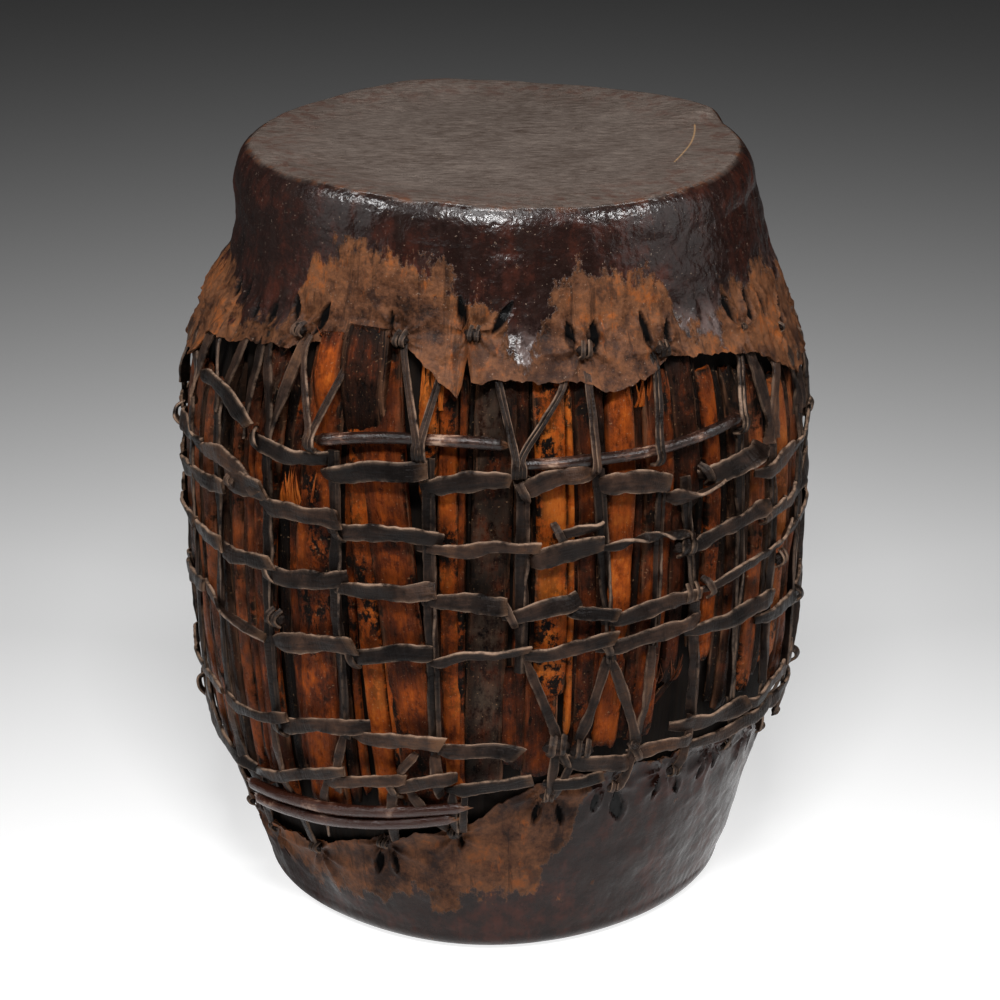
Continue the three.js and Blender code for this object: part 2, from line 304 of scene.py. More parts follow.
# Thin slats and offcuts pushed in between the wedges, in the same order of values.
OFFCUTS = [
    (-79.5, 8, 110, 346, 0, 2.4, 0.40, 1.5, 5),
    (-70.6, 7, 104, 348, 0, 2.2, 0.34, 1.5, 5),
    (-62.6, 6, 110, 352, 0, 3.2, 0.16, 1.5, 5),
    (-57.0, 6, 104, 366, 0, 3.2, 0.14, 1.2, 5),
    (-51.9, 6, 108, 372, 0.5, 2.6, 0.42, 1.5, 5),
    (-50.2, 5, 100, 344, 1.0, 1.0, 0.50, 1.5, 4),
    (-46.6, 17, 352, 389, 0.5, -2.4, 0.34, 3.5, 3),
    (-41.3, 9, 112, 382, 1.0, 3.6, 0.14, 1.0, 6),
    (-32.6, 19, 352, 404, 0.5, -8.0, 0.56, 1.6, 1.5),
    (-23.2, 29, 348, 410, -1.5, -9.5, 0.26, 1.2, 1.2),
    (-38.9, 8, 122, 374, 1.0, 2.6, 0.50, 1.0, 9),
    (-28.4, 7, 104, 394, 0.6, 3.2, 0.18, 1.0, 5),
    (-26.6, 5, 110, 390, -0.5, 2.2, 0.62, 1.0, 5),
    (-20.3, 6, 108, 396, -2.6, 1.8, 0.80, 1.0, 5),
    (-11.2, 8, 116, 392, -1.6, 2.4, 0.40, 1.0, 8),
    (-11.6, 11, 316, 394, -0.4, -3.2, 0.90, 1.0, 14),
    (-5.9, 5, 118, 386, 0.4, 1.6, 0.55, 0.8, 4),
    (-4.7, 4, 120, 384, 0.8, 3.0, 0.14, 0.8, 4),
    (4.6, 9, 136, 385, 0.6, 2.0, 0.36, 1.0, 5),
    (2.9, 12, 140, 206, 0.4, 0.8, 0.50, 0.8, 3),
    (8.4, 22, 131, 206, 0, 3.4, 0.52, 0.8, 2),
    (16.8, 13, 146, 196, 0, 3.0, 0.36, 0.8, 3),
    (27.4, 17, 151, 236, 2.0, 0.8, 0.38, 0.8, 2),
    (54.5, 7, 156, 188, 44.5, 3.6, 0.36, 0.8, 1),
    (7.0, 4, 150, 380, 0.4, 3.6, 0.20, 0.8, 5),
    (13.6, 4.5, 158, 383, 0, 1.4, 0.84, 0.8, 4),
    (14.6, 4, 150, 380, 0, 3.2, 0.30, 0.8, 4),
    (19.0, 6, 150, 380, 0.8, 2.4, 0.36, 0.8, 4),
    (25.8, 5, 152, 378, 2.2, 2.8, 0.30, 0.8, 5),
    (34.4, 13, 186, 300, 1.8, 0.8, 0.36, 0.8, 6),
    (36.6, 20, 296, 386, 1.0, 0.6, 0.30, 1.0, 4),
    (39.2, 7, 204, 380, 1.8, 3.0, 0.12, 0.8, 4),
    (46.0, 8, 160, 372, 1.0, 3.6, 0.14, 1.0, 4),
    (52.8, 7, 160, 369, 1.0, 3.4, 0.16, 1.2, 4),
    (61.4, 10, 160, 360, 1.0, 3.0, 0.16, 1.5, 4),
    (71.9, 8, 152, 352, 0, 2.0, 0.48, 1.5, 4),
    (82.0, 8, 140, 350, 0, 2.0, 0.34, 1.5, 4),
]
# Places where torn wood stands up in splinters: angle, spread of angle, foot, top, set-back, tone.
TORN_ENDS = [
    (-37.6, 3.6, 296, 322, -0.6, 0.84),
    (-32.6, 2.8, 400, 406, -6.4, 0.44),
    (-23.4, 4.2, 406, 412, -7.6, 0.40),
    (-11.6, 1.9, 366, 397, -1.4, 0.95),
    (27.6, 2.6, 362, 381, -0.3, 0.74),
    (33.2, 2.4, 184, 200, 0.2, 0.40),
]
SPLINTERS = 14
# Radius of the wedges' faces at the belly, and the heights between which they keep it.
WEDGE_R = 196
WEDGE_LOW, WEDGE_HIGH = 270, 290
WEDGE_COLOURS = [
    (0.1, (0.0026, 0.0014, 0.001)), (0.32, (0.018, 0.006, 0.003)), (0.52, (0.074, 0.015, 0.0042)),
    (0.76, (0.25, 0.049, 0.0062)), (1, (0.42, 0.11, 0.015)),
]
GREY_DUST, SIDE_GREY, SOOT_AND_SHADE = (0.052, 0.036, 0.025), (0.062, 0.036, 0.024), (0.0042, 0.0027, 0.002)
PALE_DUST, RUBBED_WOOD = (0.24, 0.14, 0.075), (0.28, 0.13, 0.07)
# Slats of this tone are the grey dusty ones.
DUSTY_TONE = 0.33


def wedge_r(z):
    """Radius of the wedges' faces: highest a little above the belly, with a square curve falling to each end."""
    up = np.clip((z - WEDGE_HIGH) / 110, 0, None)
    down = np.clip((WEDGE_LOW - z) / 165, 0, None)
    return WEDGE_R - 21 * up ** 2 - 15 * down ** 2


def slat(row, turn, seed, face=15):
    """A split slat: a crowned face over a flat back, carried up the curve of the belly and turned by its lean.
    A set-back below nothing stands out towards the top. Ridges of noise run along the grain. The ends are torn."""
    angle, width, foot, top, lean, back, tone, crown, fray = row
    z = np.linspace(foot, top, max(6, int((top - foot) / 5)))[:, None]
    u = np.concatenate([np.linspace(-1, 1, face), [0.97, 0.3, -0.3, -0.97]])[None]
    front = np.arange(u.size)[None] < face
    middle = angle + turn + lean * (z - BELLY_Z) / 150
    spot = np.stack(np.broadcast_arrays(u * width / 2, z, seed * 17.0), -1)
    ridges = 0.30 * lumps(spot, (1.4, 55, 1), 11) + 0.45 * lumps(spot, (4.5, 40, 1), 12)
    chips = np.clip(lumps(spot, (6, 14, 1), 13) - 0.45, 0, 1) * 2.4
    edge = np.abs(u) ** 9
    stand = back if back > 0 else back * ease(z, foot, foot + 0.6 * (top - foot))
    out = wedge_r(z) - stand - crown * u ** 2 - edge * (2.2 + 1.0 * lumps(spot, (30, 9, 1), 14)) + ridges - chips
    seat = shell_r(z) + 1.5
    end = ease(z, top - 9, top) + ease(-z, -foot - 7, -foot)
    out = np.where(front, np.maximum(out - 1.6 * end, seat + 1.5), seat)
    half = width / 2 * (1 + 0.05 * lumps(spot, (400, 30, 1), 15)) - 0.8 * end
    tear = lumps(spot, (2.2, 400, 1), 16) + 0.6 * lumps(spot, (6, 400, 1), 17)
    lift = fray * tear * (ease(z, top - 26, top) + 0.6 * ease(-z, -foot - 20, -foot))
    points = around(middle, out, z + lift) + around(middle + 90, 1, 0) * (u * half)[..., None]
    # The dirt mask: real dirt in patches, and painted shade along the slat's edges and at its ends.
    dirt_and_shade = np.clip(0.45 + 1.1 * lumps(spot, (13, 26, 1), 18) + 1.0 * u ** 6 + 0.8 * end, 0, 1.4)
    wear = np.abs(u) ** 6 * np.clip(0.5 + lumps(spot, (9, 20, 1), 19), 0, 1) * front
    return skin(points, (u * width / 2 + seed * 31, z, seed * 7.0), (tone, wear, dirt_and_shade * front))


def splinter(angle, foot, top, back, tone, seed):
    """One splinter: a four-sided spike that rises out of the wood, bent a little and drawn to a point."""
    t = np.linspace(0, 1, 5)[:, None]
    draw = np.random.default_rng(seed)
    lean, bow = draw.uniform(-1.6, 1.6), draw.uniform(-1.5, 2.5)
    width = draw.uniform(0.12, 0.24) * (top - foot) ** 0.7
    corner = np.radians(np.array([[45, 135, 225, 315]]))
    z = foot + (top - foot) * t
    reach = wedge_r(z) - back - 3.2 * (1 - t) ** 3 + bow * t ** 2 + np.sin(corner) * (1 - 0.9 * t) * 0.8
    points = around(angle + lean * t, reach, z)
    points = points + around(angle + 90, 1, 0) * (np.cos(corner) * width * (1 - 0.92 * t))[..., None]
    return skin(points, (np.cos(corner) * 2 + seed * 5, z, seed), (tone, 0.5 * t, 0))


def wedge_finish():
    """Old wood: colour from black through red brown to orange by each slat's tone, streaked along the grain,
    paler where edges are rubbed, greyer towards the drum's left and right, sooty in patches, darkened with
    painted shade along each slat's edges and ends, with a low polish."""
    f = Finish("wedge_wood")
    run, _ = f.attribute("run")
    _, (tone, wear, dirt_and_shade) = f.attribute("look")
    grain = f.grain(run, (0.6, 0.035, 0.4), 7, 0.62)
    cloud = f.grain(run, (0.075, 0.04, 0.4), 4, 0.6)
    stain = f.grain(run, (0.17, 0.12, 0.4), 8, 0.74)
    shade = f.times_plus(grain, 0.3, f.calc("ADD", tone, -0.15))
    shade = f.times_plus(cloud, 1.1, f.calc("ADD", shade, -0.55))
    shade = f.times_plus(stain, 1, f.calc("ADD", shade, -0.5))
    colour = f.ramp(shade, WEDGE_COLOURS)
    dusty = f.calc("ABSOLUTE", f.calc("SUBTRACT", tone, DUSTY_TONE), 0)
    dusty = f.times(f.between(dusty, 0.015, 0.03, 0.75, 0), f.between(stain, 0.42, 0.6))
    colour = f.paint(dusty, colour, GREY_DUST)
    across, _, _ = f.split(f.place())
    # Greyer towards the drum's left and right.
    side_grey = f.between(f.calc("ABSOLUTE", across, 0), 0.125, 0.175, 0, 0.42)
    colour = f.paint(side_grey, colour, SIDE_GREY)
    # Near-black soot by the dirt mask: real dirt in patches, and painted shade along each slat's edges and ends.
    colour = f.paint(f.times(dirt_and_shade, f.between(stain, 0.42, 0.56), 0.92), colour, SOOT_AND_SHADE)
    dust = f.between(f.speckle(run, 0.7, 2, 0.5), 0.67, 0.72)
    colour = f.paint(f.times(dust, 0.55), colour, PALE_DUST)
    colour = f.paint(f.times(wear, f.between(grain, 0.4, 0.62), 0.5), colour, RUBBED_WOOD)
    roughness = f.between(stain, 0.35, 0.65, 0.22, 0.55)
    height = f.times_plus(stain, 0.8, grain)
    return f.close(colour, roughness, height, 0.0013, Specular_IOR_Level=0.05)


wood = wedge_finish()
count = len(WEDGES)
for half in range(2):
    for k, row in enumerate(WEDGES):
        number = 1 + k + half * count
        tone = row[6] if half == 0 else WEDGES[count - 1 - k][6]
        row = (*row[:6], tone, *row[7:])
        made = slat(row, 180 * half, number)
        add_piece(f"wedge_slat_{number:02d}", [made], wood, "wedge_wood", f"wedge_{number:02d}")
parts = [slat(row, turn, 60 + k + turn // 4, 7) for turn in (0, 180) for k, row in enumerate(OFFCUTS)]
for k, (angle, spread, foot, top, back, tone) in enumerate(TORN_ENDS * 2):
    draw = np.random.default_rng(70 + k)
    turn = 180 * (k // len(TORN_ENDS))
    for n in range(SPLINTERS):
        place = angle + turn + spread * draw.uniform(-1, 1)
        tip = top + 0.45 * (top - foot) * draw.uniform(-1, 0.3)
        parts.append(splinter(place, foot, tip, back + draw.uniform(-0.5, 1), tone, 200 + 20 * k + n))
add_piece("wedge_offcuts", parts, wood, "wedge_wood")

# The two heads: whole wet hides drawn over the ends of the shell, slit near the hem, laced and left to shrink.
# Dark and glossy from smoke and hands, scraped to brown in ragged patches, puckered round every knot.
HIDE = 2.2
HIDE_GAP = 0.7
RIM_ROUND = 12
RIM_DROP = 24
# Radius of the flat of each head, and of the hole at its very middle that the end face closes.
HEAD_R = 141
POLE_R = 4
# Hem of each hide: angle and height, the flap and the torn places included.
TOP_HEM = [
    (-96, 352), (-84, 356), (-75, 358), (-68, 380), (-58, 382), (-49, 389), (-40, 392), (-33, 399), (-26, 405),
    (-18, 403), (-14, 396), (-10, 386), (-6.4, 378), (-5.6, 386), (-4.9, 403), (-4.0, 388), (-2.2, 385), (0, 388),
    (8, 384), (15, 383), (22, 376), (30, 382), (34, 390), (42, 386), (47, 384), (58, 376), (65, 363), (74, 348),
    (84, 352), (96, 364), (110, 378), (130, 390), (150, 380), (172, 366), (195, 388), (215, 394), (235, 376),
    (252, 360), (264, 352),
]
FOOT_HEM = [
    (-96, 64), (-75, 62), (-60, 57), (-48, 59), (-34, 67), (-24, 79), (-15, 86), (-7, 93), (1, 110), (7, 122),
    (12, 128), (20, 128), (28, 130), (36, 129), (45, 132), (54, 131), (72, 124), (90, 112), (120, 84), (156, 76),
    (180, 96), (205, 112), (235, 96), (264, 64),
]
# Knots of each hide: angle and height.
TOP_KNOTS = [
    (-78, 384), (-64, 394), (-51, 396), (-40, 402), (-18, 406), (-4, 411), (17, 400), (33, 394), (56, 392),
    (72, 378), (88, 374), (104, 386), (120, 396), (137, 398), (154, 392), (170, 386), (187, 398), (203, 404),
    (219, 402), (235, 390), (252, 378), (268, 376),
]
FOOT_KNOTS = [
    (-73, 52), (-60, 49), (-43, 53), (-24, 72), (-8, 87), (10, 117), (23, 118), (36, 120), (50, 122), (64, 118),
    (80, 108), (98, 92), (118, 76), (137, 68), (156, 66), (172, 80), (190, 92), (205, 100), (222, 92), (240, 80),
    (258, 60),
]
# Slits of each hide: angle, height, lean in degrees, half length, half width.
TOP_SLITS = [
    (-66, 408, 12, 8, 1.6), (-61, 409, -14, 8, 1.6), (-55, 401, 14, 9, 2.0), (-49.5, 404, -16, 9, 2.0),
    (-43, 410, 16, 10, 2.2), (-36, 409, -22, 11, 2.6), (-20.6, 414, 10, 6, 1.2), (-6.4, 422, 10, 10, 2.6),
    (1.6, 419, -34, 12, 2.4), (14.8, 407, 8, 8, 2.8), (19.6, 405, -8, 9, 3.2), (30.6, 405, 10, 11, 2.4),
    (35.6, 402, -24, 8, 1.6), (53, 405, 10, 10, 2.2), (60, 402, -12, 13, 3.6), (66, 398, 12, 10, 2.4),
    (75, 386, -12, 9, 2.4), (85, 388, 12, 9, 2.0), (92, 388, -12, 9, 2.0), (265, 388, 12, 9, 2.0),
]
for a, z in ((104, 398), (137, 410), (170, 398), (203, 416), (235, 402)):
    TOP_SLITS += [(a - 3, z, 12, 9, 2.2), (a + 3, z, -12, 9, 2.2)]
FOOT_SLITS = [
    (-58, 38, 14, 7, 1.4), (-26, 58, -10, 9, 2.2), (-22, 60, 12, 8, 1.6), (-7, 83, 10, 6, 1.2),
    (8.4, 103, -12, 8, 2.2), (13.2, 101, 12, 8, 2.0), (20.6, 106, -10, 7, 2.0), (25.8, 101, 12, 12, 4.2),
    (34.6, 108, -12, 8, 2.0), (39.8, 106, 14, 7, 2.0), (46.8, 110, -12, 7, 2.0), (51, 112, 14, 7, 1.8),
    (62, 104, -12, 7, 1.8), (68, 104, 12, 7, 1.8), (95, 78, -12, 8, 2.0), (101, 78, 12, 8, 2.0),
    (134, 54, -12, 8, 2.0), (140, 54, 12, 8, 2.0), (170, 66, -12, 8, 2.0), (175, 66, 12, 8, 2.0),
    (202, 86, -12, 8, 2.0), (208, 86, 12, 8, 2.0), (238, 66, -12, 8, 2.0),
]
# Upper border of the scraped patches on the upper hide, and lower border on the lower hide: angle and height.
TOP_PATCH = [
    (-96, 404), (-74, 412), (-67, 408), (-63, 394), (-56, 391), (-49, 394), (-44, 406), (-41, 436), (-34, 447),
    (-24, 454), (-16, 450), (-8, 436), (-2, 426), (3, 404), (8, 402), (12, 428), (17, 438), (22, 446), (30, 438),
    (35, 432), (39, 410), (43, 396), (48, 396), (52, 412), (57, 420), (61, 410), (66, 420), (76, 410), (90, 396),
    (112, 420), (130, 440), (150, 420), (175, 398), (200, 430), (225, 440), (250, 404), (264, 404),
]
FOOT_PATCH = [
    (-96, 56), (-70, 44), (-56, 34), (-48, 28), (-36, 30), (-22, 36), (-10, 34), (0, 46), (9, 54), (14, 70),
    (17, 96), (20, 126), (30, 132), (60, 132), (90, 112), (120, 70), (150, 50), (176, 60), (196, 96), (220, 112),
    (240, 90), (264, 56),
]
SMOKED = [(0.36, (0.0046, 0.0026, 0.0022)), (0.5, (0.0125, 0.005, 0.0038)), (0.62, (0.04, 0.01, 0.0055))]
SCRAPED = [
    (0.41, (0.012, 0.005, 0.0026)), (0.47, (0.06, 0.024, 0.0115)), (0.54, (0.12, 0.049, 0.022)),
    (0.62, (0.22, 0.062, 0.014)),
]
MEMBRANE = [(0.4, (0.048, 0.034, 0.027)), (0.5, (0.084, 0.065, 0.055)), (0.62, (0.13, 0.103, 0.087))]
BLUSH, LOW_DARK_RED, PAINTED_SHEEN = (0.05, 0.019, 0.012), (0.02, 0.006, 0.002), (0.105, 0.073, 0.066)
SCRATCH, RUST, SMEAR = (0.012, 0.0055, 0.0035), (0.21, 0.054, 0.009), (0.014, 0.0075, 0.006)
FRINGE, RUBBED_RIM, GOLD = (0.15, 0.058, 0.02), (0.1, 0.036, 0.013), (0.34, 0.2, 0.09)
DUST_AND_GLINT_SPECK, SLIT_SHADE = (0.22, 0.16, 0.12), (0.001, 0.0008, 0.0008)


def rim_rise(angle):
    """How far the worn upper rim stands above a true circle."""
    left = 5 * hump(angle, -35, 32) + 4.5 * hump(angle, -160, 22) + 3 * hump(angle, -74, 7)
    step = 6 * ease(angle, 110, 115) * hump(angle, 112, 34)
    return left + step - 2 * hump(angle, 30, 24)


def foot_swell(angle):
    """How far the foot bulges out of a true circle."""
    return 7 * hump(angle, -4, 28) - 2.5 * hump(angle, 58, 26) + 4 * hump(angle, 176, 40)


def round_list(rows, angle):
    """A value round the drum, straight between the rows of a list."""
    place, value = np.array(rows, float).T
    return np.interp(angle, np.append(place, place[0] + 360), np.append(value, value[0]))


def pulled(angle, z, r, knots):
    """Puckers of a hide: at each knot the hide dips, and folds spread from it like spokes, fading with distance."""
    total = 0
    for place, height in knots:
        across = np.radians((angle - place + 180) % 360 - 180) * r
        up = z - height
        far = np.hypot(across, up)
        spokes = 1 - 2 * np.abs(np.sin(3.5 * np.arctan2(up, across) + place))
        total = total + np.exp(-(far / 21) ** 2) * 1.7 * spokes * ease(far, 2, 7) - np.exp(-(far / 7) ** 2) * 1.6
    return total


def slit_depth(angle, z, r, slits):
    """Slits of a hide: lens shapes pressed in, each with a raised lip. Gives the push and the opening."""
    push, open_share = 0, 0
    for place, height, lean, long, wide in slits:
        across = np.radians((angle - place + 180) % 360 - 180) * r
        up = z - height
        tilt = np.radians(lean)
        v = up * np.cos(tilt) - across * np.sin(tilt)
        u = np.abs(across * np.cos(tilt) + up * np.sin(tilt))
        edge = 1.2 * wide * (1 - (v / long) ** 2)
        inside = ease(edge - u, -0.7, 0.5)
        lip = np.exp(-((u - edge - 1.0) / 1.5) ** 2) * np.exp(-(v / long / 1.1) ** 4)
        push = push + 0.9 * lip * (1 - inside) - 1.7 * inside
        open_share = open_share + inside
    return push, np.clip(open_share, 0, 1)


def around_drum():
    """Angles of a hide's columns: close together in front and further apart at the back."""
    return np.concatenate([np.arange(-96, 96, 0.4), np.arange(96, 264, 1.2)])[None]


def ragged_hem(rows, angle, r, sizes, depth, seed):
    """A hem's height round the drum, torn by noise of two sizes."""
    coarse, fine = (lumps(around(angle, r, 0), size, seed + k) for k, size in enumerate(sizes))
    return round_list(rows, angle) + depth * coarse + 0.9 * fine


def hide_grid(hem, inner, flat_z, edge_z, back_z, under_z, rows):
    """The rows of a hide before it is shaped: along the flat, round a quarter turn to its edge, along the skirt to the
    hem, back on its inside, and in under the flat. Gives the heights, the radii of what isn't skirt, which rows are
    skirt and which its inside, and a share that rises round the turn."""
    sign = np.sign(edge_z - flat_z)
    over, inside, under = rows
    flat = np.linspace(POLE_R, inner, over)[:, None]
    bend = np.radians(np.linspace(8, 88, 9))[:, None]
    along = np.linspace(0, 1, 66)[:, None]
    back = np.linspace(1, 0, inside)[:, None]
    below = np.linspace(inner, POLE_R, under)[:, None]
    wide = hem * 0
    z = np.concatenate([
        flat_z + 0 * flat + wide, edge_z + (flat_z - edge_z) * np.cos(bend) + wide,
        edge_z + (hem - edge_z) * along ** 0.9, back_z + (hem - 0.6 * sign - back_z) * back,
        under_z + 0 * below + wide,
    ])
    skirt_rows = np.zeros((len(along) + len(back), 1))
    turned = np.concatenate([flat, inner + RIM_ROUND * np.sin(bend), skirt_rows, below]) + wide
    first, turn_in, last = np.cumsum([len(flat) + len(bend), len(along), len(back)])
    row = np.arange(len(z))[:, None]
    turn = ease(row, over - 1, first) * (row < first)
    return z, turned, (row >= first) & (row < last), (row >= turn_in) & (row < last), turn


def upper_hide():
    """The upper hide as a grid: out over the membrane, round the rim, down the skirt to the hem and back inside.
    The skirt lies on the wedges at its hem and on the shell above them, with puckers, pleats, slits and lumps."""
    angle = around_drum()
    shoulder = HEIGHT - RIM_DROP
    inner = shell_r(shoulder) + HIDE_GAP + HIDE - RIM_ROUND
    hem = ragged_hem(TOP_HEM, angle, 180, (5, 2.2), 1.6, 31)
    heights = HEIGHT, shoulder, shoulder - 4, HEIGHT - 2.6
    z, turned, on_skirt, inside, turn = hide_grid(hem, inner, *heights, (30, 10, 6))
    step = ease(z, 399, 420)
    skirt = (wedge_r(z) + 0.5) * (1 - step) + (shell_r(z) + HIDE_GAP) * step + HIDE
    r = np.where(on_skirt, skirt - slack(angle, z) - HIDE * inside, turned)
    place = around(angle, r, z)
    near_hem = np.exp(-np.clip(z - hem, 0, None) / 13)
    flare = near_hem * (2.0 + 3.0 * lumps(around(angle, 180, 0), 16, 33)) + 1.6 * near_hem ** 3
    soft = 1.3 * lumps(place, 34, 34) + 0.6 * lumps(place, (15, 15, 8), 35)
    soft = soft + 0.8 * ease(z, 440, 462) * lumps(place, 8, 30)
    pleats = (0.6 + 0.8 * ease(np.abs(angle), 42, 55)) * lumps(place, (5, 5, 46), 40) * ease(-z, -436, -402)
    folds = pulled(angle, z, r, TOP_KNOTS) + pleats
    push, hole = slit_depth(angle, z, r, TOP_SLITS)
    relief = (folds + flare) * on_skirt + soft * ease(z, 372, 396) * (turn + on_skirt)
    relief = relief + (push + 0.22 * lumps(place, 3.2, 36)) * (on_skirt & ~inside)
    flap = hump(angle, -8, 5) * near_hem * 5 + hump(angle, -3.4, 1.6) * near_hem * 6
    r = r + relief + flap * on_skirt
    share = np.clip(r / HEAD_R, 0, 1)
    sag = 2.4 * np.cos(np.clip(r / inner, 0, 1) * np.pi / 2) * (z > HEIGHT - 4)
    lift = rim_rise(angle) * ease(z, 425, 472) * share ** 6 - sag
    lift = lift + (0.8 * lumps(place, 46, 37) + 0.35 * lumps(place, 15, 38)) * (z > HEIGHT - 10)
    ragged = 6 * lumps(place, (14, 14, 12), 39)
    scraped = np.clip(0.5 + (round_list(TOP_PATCH, angle) + ragged - z) / 34, 0, 1) * on_skirt
    membrane = (1 - on_skirt) * ease(inner + 5 + 1.5 * lumps(place, 9, 49) - r, 0, 4)
    run = (angle * 3.0, np.where(on_skirt, z, HEIGHT + inner - r), r)
    return skin(around(angle, r, z + lift), run, (scraped, membrane, hole))


def lower_hide():
    """The lower hide as a grid: from the middle of the underside out round the foot, up the skirt and back inside.
    The skirt lies on the shell, swollen at the foot, with puckers, slits and lumps."""
    angle = around_drum()
    inner = shell_r(RIM_ROUND) + HIDE_GAP + HIDE - RIM_ROUND
    hem = ragged_hem(FOOT_HEM, angle, 170, (6, 2.4), 1.8, 41)
    z, turned, on_skirt, inside, _ = hide_grid(hem, inner, 0, RIM_ROUND, RIM_ROUND + 2, HIDE, (8, 8, 5))
    r = np.where(on_skirt, shell_r(z) + HIDE_GAP + HIDE * ~inside, turned)
    place = around(angle, r, z)
    near_hem = np.exp(-np.clip(hem - z, 0, None) / 12)
    flare = near_hem * (1.6 + 2.6 * lumps(around(angle, 170, 0), 14, 43))
    soft = 1.2 * lumps(place, 32, 44) + 0.45 * lumps(place, 10, 45)
    folds = pulled(angle, z, r, FOOT_KNOTS) + 0.7 * lumps(place, (5, 5, 34), 48) * near_hem ** 0.5
    push, hole = slit_depth(angle, z, r, FOOT_SLITS)
    relief = (folds + flare + soft * ease(z, 6, 30)) * on_skirt
    relief = relief + (push + 0.18 * lumps(place, 3.0, 46)) * (on_skirt & ~inside)
    share = np.clip(r / HEAD_R, 0, 1)
    low = np.clip(np.where(z > 40, 0.55 * (80 - z) / 40, 0.55 + 0.45 * (40 - z) / 28), 0, 1)
    r = r + relief + foot_swell(angle) * low * share
    ragged = 6 * lumps(place, (14, 14, 12), 47)
    scraped = np.clip(0.5 + (z - round_list(FOOT_PATCH, angle) + ragged) / 30, 0, 1) * on_skirt
    return skin(around(angle, r, z), (angle * 2.8, z, r), (scraped, 0, hole))


